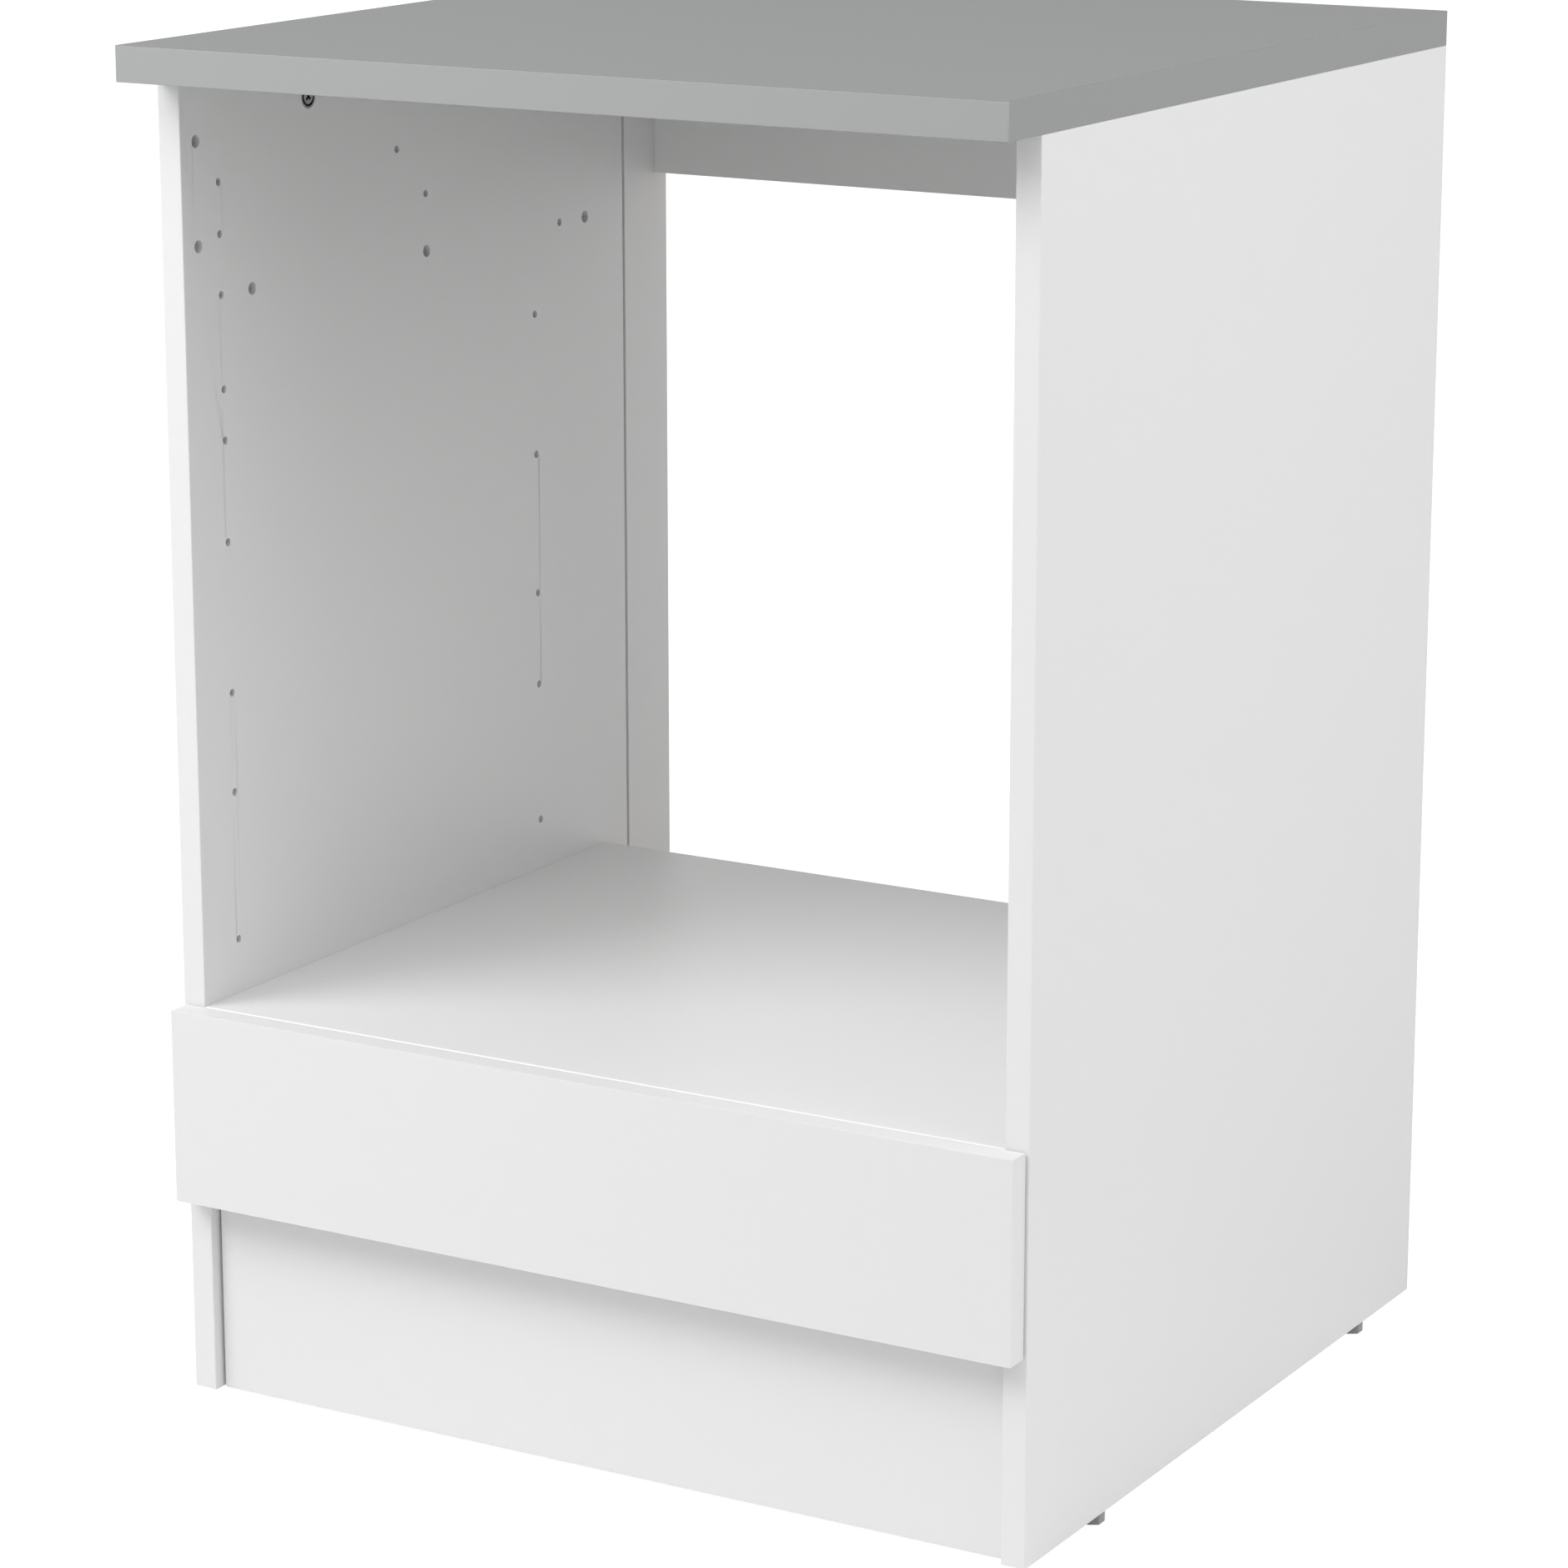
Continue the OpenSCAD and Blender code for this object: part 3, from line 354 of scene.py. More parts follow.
def moulded_polypropylene():
    """Polypropylene, injection-moulded in a spark-eroded die: a matt mid grey, grained at 0.7 mm."""
    material, tree, shader, place = new_material("moulded_polypropylene")
    skin = add(tree, "TexNoise", {"Vector": place, "Scale": per(0.7), "Detail": 2.0})
    bump = add(tree, "Bump", {"Height": skin, "Distance": 0.05 * MM, "Strength": 0.6})
    wire(shader, {"Base Color": linear(PLASTIC_GREY), "Roughness": 0.52, "IOR": 1.49, "Normal": bump})
    return material


def turned_beech():
    """Beech, turned and fluted: a pinkish tan with short darker flecks of about 2 mm by 0.5 mm."""
    material, tree, shader, place = new_material("turned_beech")
    along = add(tree, "Mapping", {"Vector": place, "Scale": [per(size) for size in (2.0, 0.5, 0.5)]})
    flecks = add(tree, "TexNoise", {"Vector": along, "Scale": 1.0, "Detail": 3.0})
    colours = {0: flecks, MIX_A: linear(BEECH_DARK), MIX_B: linear(BEECH_PALE)}
    colour = add(tree, "Mix", colours, MIX_OUT, data_type="RGBA")
    bump = add(tree, "Bump", {"Height": flecks, "Distance": 0.1 * MM, "Strength": 0.5})
    wire(shader, {"Base Color": colour, "Roughness": 0.62, "IOR": 1.5, "Normal": bump})
    return material


def cast_silicone():
    """Silicone rubber, cast: a soft clear pad that looks a milky grey on white."""
    material, tree, shader, place = new_material("cast_silicone")
    skin = add(tree, "TexNoise", {"Vector": place, "Scale": per(1.5), "Detail": 1.0})
    bump = add(tree, "Bump", {"Height": skin, "Distance": 0.03 * MM, "Strength": 0.3})
    wire(shader, {"Base Color": linear(SILICONE_CLEAR), "Roughness": 0.28, "IOR": 1.41, "Normal": bump})
    wire(shader, {"Transmission Weight": 0.5})
    return material


# Solids of the frame, and pieces in their place

# Corners of loose triangles that are closer than this belong to one solid
SAME_CORNER = 0.01 * MM
# Faces of a new piece that meet at a wider turn than this keep a sharp edge between them
SHARP_TURN = math.radians(35)


def solids(node):
    """The lowest and highest corner of each separate solid of a CAD node."""
    shape = bmesh.new()
    shape.from_mesh(shell[node].data)
    bmesh.ops.remove_doubles(shape, verts=shape.verts, dist=SAME_CORNER)
    left = set(shape.verts)
    boxes = []
    while left:
        found = [left.pop()]
        for vert in found:
            for edge in vert.link_edges:
                other = edge.other_vert(vert)
                if other in left:
                    left.remove(other)
                    found.append(other)
        places = [vert.co for vert in found]
        low = Vector([min(p[i] for p in places) for i in range(3)])
        high = Vector([max(p[i] for p in places) for i in range(3)])
        boxes.append((low, high))
    shape.free()
    return sorted(boxes, key=lambda box: tuple(box[0]))


def once(parts):
    """Parts of a shape, each once and always in the same order."""
    return list(dict.fromkeys(parts))


def piece(name, shape, material, node):
    """Makes an object of a shape, in place of a CAD node and on that node's body."""
    bmesh.ops.remove_doubles(shape, verts=shape.verts, dist=SAME_POINT)
    bmesh.ops.recalc_face_normals(shape, faces=shape.faces)
    for face in shape.faces:
        face.smooth = True
    mesh = bpy.data.meshes.new(name)
    shape.to_mesh(mesh)
    shape.free()
    mesh.materials.append(material)
    made = bpy.data.objects.new(name, mesh)
    bpy.context.scene.collection.objects.link(made)
    mesh.set_sharp_from_angle(angle=SHARP_TURN)
    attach(made, body_of[node])
    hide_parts(node)
    return made


def copies(template, places):
    """One shape of a template mesh repeated at each place, given as matrices."""
    shape = bmesh.new()
    for place in places:
        start = len(shape.verts)
        shape.from_mesh(template)
        shape.verts.ensure_lookup_table()
        bmesh.ops.transform(shape, matrix=place, verts=shape.verts[start:])
    return shape


def template_of(shape):
    """A mesh of a finished shape, from which copies are made."""
    bmesh.ops.remove_doubles(shape, verts=shape.verts, dist=SAME_POINT)
    mesh = bpy.data.meshes.new("template")
    shape.to_mesh(mesh)
    shape.free()
    return mesh


def standing(box, outward):
    """The frame of a turned fitting: origin in the middle of its outer end, own Z pointing out."""
    low, high = box
    middle = (low + high) / 2
    size = high - low
    axis = max(range(3), key=lambda i: size[i])
    direction = Vector([0, 0, 0])
    direction[axis] = outward(axis, middle)
    top = middle + direction * size[axis] / 2
    return Matrix.Translation(top) @ direction.to_track_quat("Z", "Y").to_matrix().to_4x4()


# Turned and threaded fittings, drawn with their outer end at z = 0 and their length downwards

# Steps round a turned part and round one turn of a thread
TURNED_STEPS = 24
THREAD_STEPS = 16
# Flutes round a dowel
FLUTES = 12
# How far apart the turns of a wood screw's, a bolt's and a foot's thread are
WOOD_PITCH = 1.8 * MM
BOLT_PITCH = 2.0 * MM
FOOT_PITCH = 1.25 * MM
# A thread: half the height of its rib's foot, how far above its lower end the crest starts and what
# its ends leave free, as shares of its pitch, and how far its root lies inside the core under it
RIB_HALF = 0.4
RIB_START = 0.45
RIB_FREE = 0.9
THREAD_SUNK = 0.1 * MM
# A cross recess: half the width of its slots, the size of its floor and its depth, as shares of its reach
CROSS_HALF = 0.26
CROSS_FLOOR = 0.55
CROSS_DEPTH = 1.1
# A pan head's rim as a share of its radius, and its outline below the rim as shares of its radius
# and height
PAN_RIM = 0.7
PAN_HEAD = ((0.92, 0.35), (1, 0.8), (1, 1))
# How far a sunk head's rim lies inside its radius and above its widest point
SUNK_RIM = 0.3 * MM
SUNK_EDGE = 0.1 * MM
# A wood screw's neck as a share of its head's radius, its core as a share of the neck's, and how far
# below the head the neck and the taper to the core end
SCREW_NECK = 0.52
SCREW_CORE = 0.68
SCREW_NECK_END = 1.2 * MM
SCREW_TAPER_END = 1.6 * MM
# The length of a wood screw's point, and how far above its tip the thread ends
SCREW_POINT = 3.0 * MM
SCREW_THREAD_END = 1.6 * MM
# A bolt's radii in mm of head, neck, thread core, thread, cross recess and its rim
BOLT_RADII = (3.3, 2.1, 1.7, 2.45, 1.7, 2.2)
# How far below its top a bolt's head and neck end, and how long its thread is, in mm
BOLT_LENGTHS = (4.0, 10.0, 11.0)
# How far a bolt's head is rounded inwards and lengthways, how far its top is domed, how its shaft is
# eased, and its tip's length and, as a share of the core's, radius
BOLT_ROUND_IN = 0.5 * MM
BOLT_ROUND_L = 0.7 * MM
BOLT_DOME = 0.15 * MM
BOLT_EASE = 0.4 * MM
BOLT_TIP_L = 1.0 * MM
BOLT_TIP_R = 0.4
# A dowel's flutes and its ends as shares of its radius, and how long its tapered ends are
FLUTE_ROOT = 0.94
DOWEL_END = 0.86
DOWEL_TAPER = 1.0 * MM
# A foot: height of its head, easing of its sole and of its six corners, and its dished sole's rim and
# depth
FOOT_HEAD_H = 8.0 * MM
FOOT_SOLE_EASE = 0.8 * MM
FOOT_CORNER_EASE = 0.4 * MM
FOOT_DISH_RIM = 2.0 * MM
FOOT_DISH_DEPTH = 0.8 * MM
# A foot's shank: its radius, its thread's depth, how far it starts inside the head, its tip's length
# and bevel, and how far its thread starts inside the head and ends below the tip
FOOT_SHANK_R = 3.95 * MM
FOOT_THREAD_H = 0.65 * MM
FOOT_SHANK_IN = 1.0 * MM
FOOT_TIP_L = 1.0 * MM
FOOT_TIP_BEVEL = 0.8 * MM
FOOT_THREAD_IN = 0.4 * MM
FOOT_THREAD_END = 0.6 * MM
# Edges of a foot's head that rise by more than this are its six corners
FOOT_UPRIGHT = 2.0 * MM


def turned(shape, outline):
    """Turns an outline of (radius, height) points about Z into a closed skin."""
    points = [shape.verts.new((radius, 0, height)) for radius, height in outline]
    edges = [shape.edges.new(pair) for pair in zip(points, points[1:])]
    bmesh.ops.spin(
        shape,
        geom=points + edges,
        cent=(0, 0, 0),
        axis=(0, 0, 1),
        dvec=(0, 0, 0),
        angle=math.tau,
        steps=TURNED_STEPS,
        use_merge=True,
    )


def thread(shape, core_r, crest_r, pitch, top, bottom):
    """A helical rib between two heights, sunk a little into the core that it stands on."""
    root = core_r - THREAD_SUNK
    turns = int((top - bottom) / pitch - RIB_FREE)
    start = bottom + RIB_START * pitch
    half = RIB_HALF * pitch
    rib = [(root, start + half), (crest_r, start), (root, start - half)]
    points = [shape.verts.new((radius, 0, height)) for radius, height in rib]
    edges = [shape.edges.new(pair) for pair in zip(points, points[1:] + points[:1])]
    ends = bmesh.ops.spin(
        shape,
        geom=points + edges,
        cent=(0, 0, 0),
        axis=(0, 0, 1),
        dvec=(0, 0, pitch / THREAD_STEPS),
        angle=math.tau * turns,
        steps=THREAD_STEPS * turns,
        use_merge=False,
    )["geom_last"]
    last = [part for part in ends if isinstance(part, bmesh.types.BMEdge)]
    bmesh.ops.edgeloop_fill(shape, edges=last)
    bmesh.ops.edgeloop_fill(shape, edges=edges)


def cross_recess(shape, rim_r, reach):
    """A disc of radius rim_r at z = 0 with a tapering cross recess that reaches out to reach."""
    rim = bmesh.ops.create_circle(shape, segments=TURNED_STEPS, radius=rim_r)["verts"]
    rim_edges = once(edge for vert in rim for edge in vert.link_edges)
    half = CROSS_HALF * reach
    corners = []
    for quarter in range(4):
        turn = Matrix.Rotation(math.tau * quarter / 4, 3, "Z")
        for place in ((half, half, 0), (half, reach, 0), (-half, reach, 0)):
            corners.append(shape.verts.new(turn @ Vector(place)))
    cross = [shape.edges.new(pair) for pair in zip(corners, corners[1:] + corners[:1])]
    bmesh.ops.bridge_loops(shape, edges=rim_edges + cross)
    walls = bmesh.ops.extrude_edge_only(shape, edges=cross)["geom"]
    low = [part for part in walls if isinstance(part, bmesh.types.BMVert)]
    bmesh.ops.scale(shape, vec=(CROSS_FLOOR, CROSS_FLOOR, 1), verts=low)
    bmesh.ops.translate(shape, vec=(0, 0, -CROSS_DEPTH * reach), verts=low)
    floor_edges = once(e for v in low for e in v.link_edges if e.other_vert(v) in low)
    bmesh.ops.edgeloop_fill(shape, edges=floor_edges)


def rounded(shape, edges, width, segments):
    """Rounds edges of a shape."""
    settings = {"profile": 0.5, "affect": "EDGES", "material": -1}
    bmesh.ops.bevel(shape, geom=edges, offset=width, segments=segments, **settings)


def screw(box, head_h, recess, sunk):
    """A cross-recess wood screw, as long and wide as the CAD solid that it stands for."""
    size = sorted(box[1] - box[0])
    head_r, length = size[0] / 2, size[2]
    neck_r = SCREW_NECK * head_r
    core_r = SCREW_CORE * neck_r
    core_top = -head_h - SCREW_TAPER_END
    rim = head_r - SUNK_RIM if sunk else PAN_RIM * head_r
    shape = bmesh.new()
    outline = [(rim, 0)]
    if sunk:
        outline += [(head_r, -SUNK_EDGE)]
    else:
        outline += [(wide * head_r, -deep * head_h) for wide, deep in PAN_HEAD]
    outline += [(neck_r, -head_h), (neck_r, -head_h - SCREW_NECK_END), (core_r, core_top)]
    outline += [(core_r, -length + SCREW_POINT), (0, -length)]
    turned(shape, outline)
    cross_recess(shape, rim, recess)
    thread(shape, core_r, neck_r, WOOD_PITCH, core_top, -length + SCREW_THREAD_END)
    return template_of(shape)


def cam_bolt(box):
    """A cam's connecting bolt: a rounded head, a neck, a plain shaft and a coarse thread."""
    size = sorted(box[1] - box[0])
    shaft_r, length = size[0] / 2, size[2]
    head_r, neck_r, core_r, thread_r, recess_r, rim_r = (r * MM for r in BOLT_RADII)
    head_l, neck_l, thread_l = (part * MM for part in BOLT_LENGTHS)
    shape = bmesh.new()
    outline = [(rim_r, 0), (head_r - BOLT_ROUND_IN, -BOLT_DOME), (head_r, -BOLT_ROUND_L)]
    outline += [(head_r, -head_l + BOLT_ROUND_L), (head_r - BOLT_ROUND_IN, -head_l), (neck_r, -head_l)]
    outline += [(neck_r, -neck_l), (shaft_r - BOLT_EASE, -neck_l), (shaft_r, -neck_l - BOLT_EASE)]
    outline += [(shaft_r, -length + thread_l + BOLT_EASE), (shaft_r - BOLT_EASE, -length + thread_l)]
    outline += [(core_r, -length + thread_l), (core_r, -length + BOLT_TIP_L)]
    outline += [(BOLT_TIP_R * core_r, -length), (0, -length)]
    turned(shape, outline)
    cross_recess(shape, rim_r, recess_r)
    thread(shape, core_r, thread_r, BOLT_PITCH, -length + thread_l, -length + BOLT_EASE)
    return template_of(shape)


def dowel(box):
    """A dowel with flutes along it, which let air and glue out, and eased ends."""
    size = sorted(box[1] - box[0])
    radius, length = size[0] / 2, size[2]
    shape = bmesh.new()
    ring = bmesh.ops.create_circle(shape, segments=2 * FLUTES, radius=radius)["verts"]
    for vert in ring[::2]:
        vert.co *= FLUTE_ROOT
    for drop in (DOWEL_TAPER, length - 2 * DOWEL_TAPER, DOWEL_TAPER):
        edges = once(e for v in ring for e in v.link_edges if e.other_vert(v) in ring)
        grown = bmesh.ops.extrude_edge_only(shape, edges=edges)["geom"]
        ring = [part for part in grown if isinstance(part, bmesh.types.BMVert)]
        bmesh.ops.translate(shape, vec=(0, 0, -drop), verts=ring)
    bmesh.ops.holes_fill(shape, edges=shape.edges)
    ends = [v for v in shape.verts if v.co.z > -DOWEL_TAPER / 2 or v.co.z < -length + DOWEL_TAPER / 2]
    bmesh.ops.scale(shape, vec=(DOWEL_END, DOWEL_END, 1), verts=ends)
    return template_of(shape)


def foot(box):
    """A levelling foot: a hexagonal head with an eased sole and a dished middle, and a threaded shank.

    It is drawn from its sole at z = 0 upwards."""
    low, high = box
    across = (high.x - low.x) / 2
    shape = bmesh.new()
    size = {"radius1": across, "radius2": across, "depth": FOOT_HEAD_H}
    made = bmesh.ops.create_cone(shape, cap_ends=True, segments=6, **size)["verts"]
    bmesh.ops.translate(shape, vec=(0, 0, FOOT_HEAD_H / 2), verts=made)
    at_sole = [edge for edge in shape.edges if all(v.co.z < SAME_POINT for v in edge.verts)]
    rounded(shape, at_sole, FOOT_SOLE_EASE, segments=3)
    corners = [e for e in shape.edges if abs(e.verts[0].co.z - e.verts[1].co.z) > FOOT_UPRIGHT]
    rounded(shape, corners, FOOT_CORNER_EASE, segments=2)
    sole = [f for f in shape.faces if all(v.co.z < SAME_POINT for v in f.verts)]
    bmesh.ops.inset_region(shape, faces=sole, thickness=FOOT_DISH_RIM)
    dish = once(vert for face in sole for vert in face.verts)
    bmesh.ops.translate(shape, vec=(0, 0, FOOT_DISH_DEPTH), verts=dish)
    core_r = FOOT_SHANK_R - FOOT_THREAD_H
    top = high.z - low.z
    outline = [(core_r, FOOT_HEAD_H - FOOT_SHANK_IN), (core_r, top - FOOT_TIP_L)]
    outline += [(core_r - FOOT_TIP_BEVEL, top), (0, top)]
    turned(shape, outline)
    thread_top = top - FOOT_THREAD_END
    thread(shape, core_r, FOOT_SHANK_R, FOOT_PITCH, thread_top, FOOT_HEAD_H - FOOT_THREAD_IN)
    return shape


def strips(node, outward, round_mm):
    """The edging strips of a node, rounded along the edges of their outer face."""
    shape = bmesh.new()
    for low, high in solids(node):
        made = bmesh.ops.create_cube(shape, size=1)["verts"]
        bmesh.ops.scale(shape, vec=high - low, verts=made)
        bmesh.ops.translate(shape, vec=(low + high) / 2, verts=made)
        face_dir = outward((low + high) / 2)
        outer = max((f for v in made for f in v.link_faces), key=lambda f: f.normal.dot(face_dir))
        rounded(shape, list(outer.edges), round_mm * MM, segments=3)
    return shape


# Easing of each kind of piece, in mm
BOARD_EASE = 0.25
DRAWER_FRONT_EASE = 0.8
BOARD_STRIP_ROUND = 0.6
WORKTOP_STRIP_ROUND = 0.4
PLATED_EASE = 0.2
CAM_EASE = 0.15
RUNNER_EASE = 0.2
ROLLER_EASE = 0.4
BUMPER_EASE = 0.35
# Edges of a CAD node that turn by more than this are eased
EASED_TURN = math.radians(40)


def keep_flats_even(made):
    """Lets the flat faces set the shading, so that a rounded edge or hole doesn't tilt them."""
    even = made.modifiers.new("even", "WEIGHTED_NORMAL")
    even.keep_sharp = True
    even.use_face_influence = True


def ease(node, width_mm, segments=2):
    """Welds a CAD node's loose triangles and rounds its sharp edges."""
    made = shell[node]
    weld = made.modifiers.new("weld", "WELD")
    weld.merge_threshold = SAME_POINT
    bevel = made.modifiers.new("ease", "BEVEL")
    bevel.width = width_mm * MM
    bevel.segments = segments
    bevel.limit_method = "ANGLE"
    bevel.angle_limit = EASED_TURN
    bevel.use_clamp_overlap = False
    bevel.face_strength_mode = "FSTR_ALL"
    keep_flats_even(made)


# Studio

# Soft light that comes from far away: direction, how narrow it is, and strength
SKY = [
    ((0, 1, 0), 4, 2.38),
    ((0, -0.707, 0.707), 6, 1.4),
    ((0, -0.5, 0.87), 12, 0.68),
    ((0.5, -0.5, 0.707), 8, 0.64),
    ((1, 0, 0), 4, 0.73),
    ((-1, 0, 0), 4, 0.5),
]
# Square lamps near the cabinet: place and size in metres, power in watts
LAMPS = {
    "front_left_lamp": ((-1.5, -1.7, 2.2), 1.4, 36.5),
    "front_lamp": ((0, -1.9, 2.3), 1.4, 4.8),
    "right_lamp": ((2.4, 0, 1.2), 1.6, 9.7),
    "upper_right_lamp": ((1.9, -0.3, 2.1), 1.4, 8.4),
}
LAMP_AIM = Vector((0, 0, 0.45))
# The floor's paper as falling light meets it, and as it is seen: a shade that keeps the shadow and
# a glow that brings it up to white. Then how far it reaches each way, in metres
PAPER = (0.8, 0.8, 0.8, 1)
PAPER_SHADE = (0.3, 0.3, 0.3, 1)
PAPER_GLOW = 0.95
FLOOR_REACH = 15


def seen_directly(tree):
    """1 for what the camera, a reflection or a look through glass sees, and 0 for light that falls."""
    path = add(tree, "LightPath").node
    rays = {0: path.outputs["Is Camera Ray"], 1: path.outputs["Is Glossy Ray"]}
    seen = add(tree, "Math", rays, operation="MAXIMUM")
    return add(tree, "Math", {0: seen, 1: path.outputs["Is Transmission Ray"]}, operation="MAXIMUM")


def sky():
    """Soft light from all round, behind a white backdrop."""
    world = bpy.data.worlds.new("studio")
    bpy.context.scene.world = world
    world.use_nodes = True
    tree = world.node_tree
    tree.nodes.clear()
    direction = add(tree, "TexCoord", output="Generated")
    total = 0.0
    for source, narrowness, strength in SKY:
        cosine = add(tree, "VectorMath", {0: direction, 1: source}, "Value", operation="DOT_PRODUCT")
        lit = add(tree, "Math", {0: cosine, 1: 0.0}, operation="MAXIMUM")
        narrow = add(tree, "Math", {0: lit, 1: narrowness}, operation="POWER")
        total = add(tree, "Math", {0: narrow, 1: strength, 2: total}, operation="MULTIPLY_ADD")
    light = add(tree, "Background", {"Strength": total})
    white = add(tree, "Background", {"Color": (1, 1, 1, 1), "Strength": 1.0})
    mixed = add(tree, "MixShader", {0: seen_directly(tree), 1: light, 2: white})
    add(tree, "OutputWorld", {"Surface": mixed})


def floor():
    """White paper under the cabinet: it throws real light up, keeps the shadow, and is seen as white."""
    mesh = bpy.data.meshes.new("floor")
    shape = bmesh.new()
    bmesh.ops.create_grid(shape, x_segments=1, y_segments=1, size=FLOOR_REACH)
    shape.to_mesh(mesh)
    shape.free()
    plane = bpy.data.objects.new("floor", mesh)
    bpy.context.scene.collection.objects.link(plane)
    material = bpy.data.materials.new("white_paper")
    material.use_nodes = True
    tree = material.node_tree
    tree.nodes.clear()
    paper = add(tree, "BsdfDiffuse", {"Color": PAPER})
    shade = add(tree, "BsdfDiffuse", {"Color": PAPER_SHADE})
    glow = add(tree, "Emission", {"Strength": PAPER_GLOW})
    shown = add(tree, "AddShader", {0: shade, 1: glow})
    mixed = add(tree, "MixShader", {0: seen_directly(tree), 1: paper, 2: shown})
    add(tree, "OutputMaterial", {"Surface": mixed})
    mesh.materials.append(material)


def lamps():
    """The square lamps, turned to the cabinet's middle."""
    for name, (place, size, power) in LAMPS.items():
        data = bpy.data.lights.new(name, "AREA")
        data.size = size
        data.energy = power
        lamp = bpy.data.objects.new(name, data)
        lamp.location = place
        lamp.rotation_mode = "QUATERNION"
        lamp.rotation_quaternion = (Vector(place) - LAMP_AIM).to_track_quat("Z", "Y")
        bpy.context.scene.collection.objects.link(lamp)


# Dressing

# Each board's thickness axis, and its faces that are sawn and left bare
BOARDS = {
    "side_panel_left": ("x", ["+y", "-z"]),
    "side_panel_right": ("x", ["+y", "-z"]),
    "bottom_panel": ("z", ["+y"]),
    "oven_shelf": ("z", ["+y"]),
    "rear_rail": ("y", ["-z", "+z"]),
    "plinth_panel": ("y", ["-z", "+z"]),
    "drawer_front": ("y", []),
    "drawer_side_left": ("x", ["+y", "-z"]),
    "drawer_side_right": ("x", ["+y", "-z"]),
    "drawer_back": ("y", ["-z"]),
}


def give(material, node):
    """Puts a material on a CAD node."""
    slots = shell[node].data.materials
    slots.clear()
    slots.append(material)


def dress_boards():
    """The white boards, the worktop and the drawer's base."""
    for node, (thickness, sawn) in BOARDS.items():
        give(melamine_chipboard(node, thickness, sawn), node)
        ease(node, DRAWER_FRONT_EASE if node == "drawer_front" else BOARD_EASE)
    give(high_pressure_laminate("worktop_board"), "worktop_board")
    give(lacquered_hardboard("drawer_base"), "drawer_base")
    ease("drawer_base", BOARD_EASE)


# Which way a strip's outer face looks, from where its middle is


def forwards(middle):
    return Vector((0, -1, 0))


def sideways(middle):
    return Vector((math.copysign(1, middle.x), 0, 0))


def dress_edges():
    """The edging strips: which way their outer face looks, and how far its edges are rounded."""
    white = abs_edging("white_abs_edging", WHITE_EDGING, roughness=0.36)
    # The shelf's edging is painted brighter than the other white edgings, as a painted highlight along
    # its seam
    bright = abs_edging("painted_highlight_abs_edging", PAINTED_HIGHLIGHT_EDGING, roughness=0.25)
    # The front and end edgings are one edging in two greys: their colours carry painted light
    grey = lapped_abs_edging("worktop_front_edging", LAMINATE_FRONT_PAINTED_LIGHT)
    grey_end = lapped_abs_edging("worktop_side_edgings", LAMINATE_END_PAINTED_LIGHT)
    rows = [
        ("side_edging_left", forwards, BOARD_STRIP_ROUND, white),
        ("side_edging_right", forwards, BOARD_STRIP_ROUND, white),
        ("bottom_panel_edging", forwards, BOARD_STRIP_ROUND, white),
        ("oven_shelf_edging", forwards, BOARD_STRIP_ROUND, bright),
        ("worktop_front_edging", forwards, WORKTOP_STRIP_ROUND, grey),
        ("worktop_side_edgings", sideways, WORKTOP_STRIP_ROUND, grey_end),
    ]
    for node, outward, round_mm, finish in rows:
        keep_flats_even(piece(node + "_strip", strips(node, outward, round_mm), finish, node))


# Which way a fitting's outer end points along its axis, from where its middle is


def inwards(axis, middle):
    return -math.copysign(1, middle[axis])


def outwards(axis, middle):
    return math.copysign(1, middle[axis])


def downwards(axis, middle):
    return -1


def upwards(axis, middle):
    return 1


def backwards_or_down(axis, middle):
    return 1 if axis == 1 else -1


# Each group of screws: where its heads point, head height and recess reach in mm, sunk or not
SCREWS = {
    "cabinet_runner_screws": (inwards, 1.1, 2.0, False),
    "drawer_runner_screws": (downwards, 1.4, 1.7, False),
    "drawer_base_screws": (downwards, 1.4, 1.7, False),
    "plinth_screws": (backwards_or_down, 1.4, 1.7, False),
    "drawer_back_screws": (outwards, 2.0, 2.0, True),
}
# Each group of bolts: where its heads point
BOLTS = {
    "worktop_bolts": downwards,
    "oven_shelf_bolts": inwards,
    "bottom_panel_bolts": inwards,
    "rail_bolts": inwards,
    "drawer_bolts": upwards,
}
DOWELS = ("oven_shelf_dowels", "bottom_panel_dowels", "rail_dowels", "drawer_dowels")
FEET = ("foot_front_left", "foot_front_right", "foot_rear_left", "foot_rear_right")


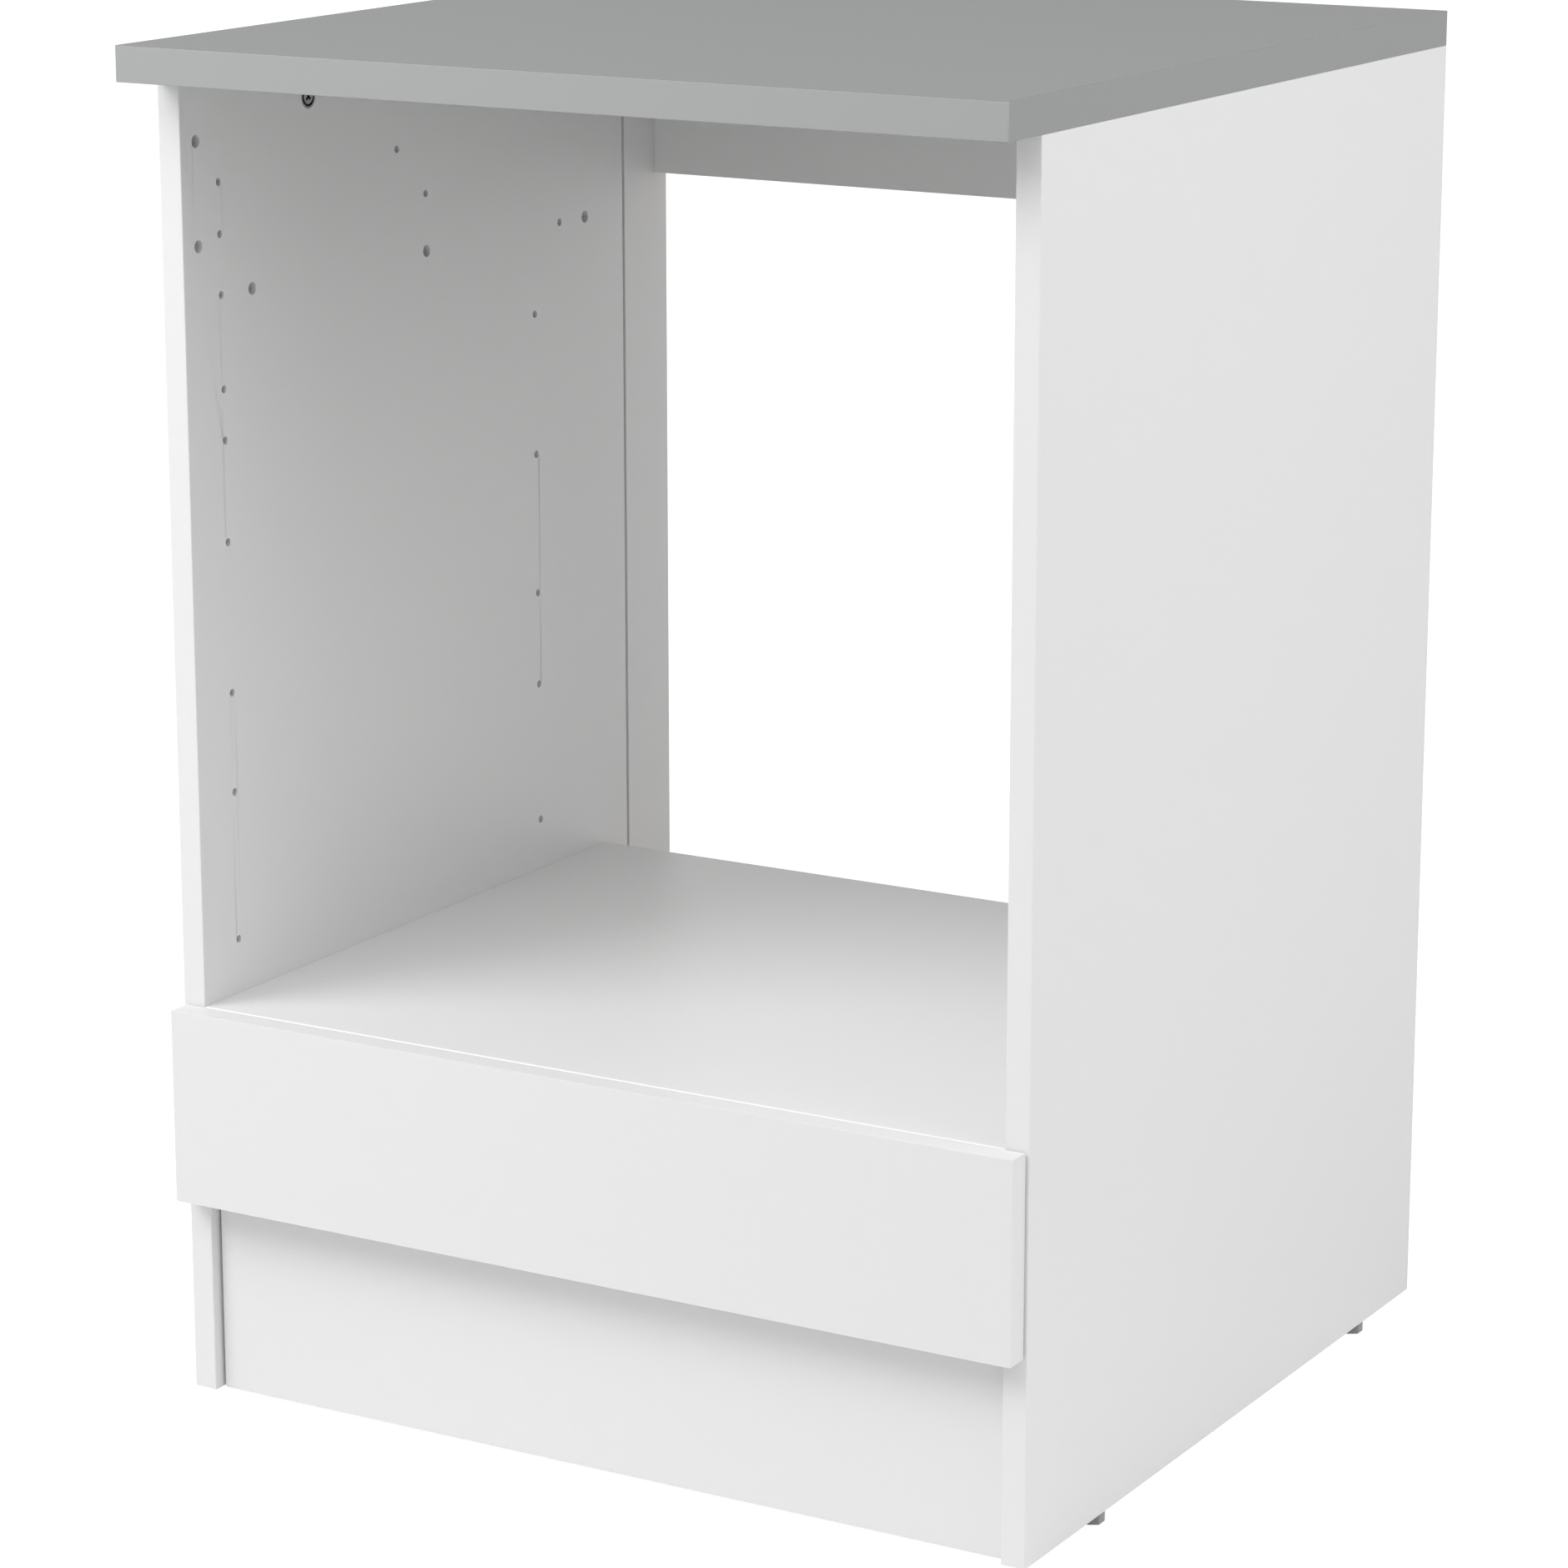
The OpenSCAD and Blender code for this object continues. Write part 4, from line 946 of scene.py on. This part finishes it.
def dress_fittings():
    """Screws, bolts, dowels and feet in place of the plain ones, and the plated small parts."""
    steel = zinc_plated_steel()
    wood = turned_beech()
    plastic = moulded_polypropylene()
    for node, (heads, head_h, recess, sunk) in SCREWS.items():
        boxes = solids(node)
        template = screw(boxes[0], head_h * MM, recess * MM, sunk)
        piece(node + "_cross", copies(template, [standing(box, heads) for box in boxes]), steel, node)
    for node, heads in BOLTS.items():
        boxes = solids(node)
        template = cam_bolt(boxes[0])
        piece(node + "_threaded", copies(template, [standing(box, heads) for box in boxes]), steel, node)
    for node in DOWELS:
        boxes = solids(node)
        template = dowel(boxes[0])
        piece(node + "_fluted", copies(template, [standing(box, outwards) for box in boxes]), wood, node)
    for node in FEET:
        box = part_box(node)
        shape = foot(box)
        middle = (box[0] + box[1]) / 2
        bmesh.ops.translate(shape, vec=(middle.x, middle.y, box[0].z), verts=shape.verts)
        piece(node + "_threaded", shape, plastic, node)
    give(plastic, "foot_sleeves")
    for node in ("plinth_brackets", "cabinet_roller_pins", "drawer_roller_pins"):
        give(steel, node)
        ease(node, PLATED_EASE)


# The outer face of each group of cams, below which they are painted dark as shade in the recesses. The
# drawer's two cams look at each other, so they have none in common
CAM_FACES = {
    "worktop_cam_front_left": ["+x"],
    "worktop_cam_rear_left": ["+x"],
    "worktop_cam_front_right": ["-x"],
    "worktop_cam_rear_right": ["-x"],
    "oven_shelf_cams": ["-z"],
    "bottom_panel_cams": ["-z"],
    "rail_cams": ["+y"],
    "drawer_cams": [],
}


def dress_cams():
    """The cam locks."""
    for node, faces in CAM_FACES.items():
        give(die_cast_zinc(node, faces), node)
        ease(node, CAM_EASE, segments=1)


def dress_runners():
    """The runners, their rollers and the drawer front's bumpers."""
    coat = powder_coated_steel()
    nylon = moulded_nylon()
    for side in ("left", "right"):
        for owner in ("cabinet", "drawer"):
            give(coat, f"{owner}_runner_{side}")
            ease(f"{owner}_runner_{side}", RUNNER_EASE)
            give(nylon, f"{owner}_roller_{side}")
            ease(f"{owner}_roller_{side}", ROLLER_EASE)
    give(cast_silicone(), "drawer_bumpers")
    ease("drawer_bumpers", BUMPER_EASE, segments=4)


place_camera()
sky()
floor()
lamps()
dress_boards()
dress_edges()
dress_fittings()
dress_cams()
dress_runners()

bpy.context.scene.view_settings.view_transform = "Standard"
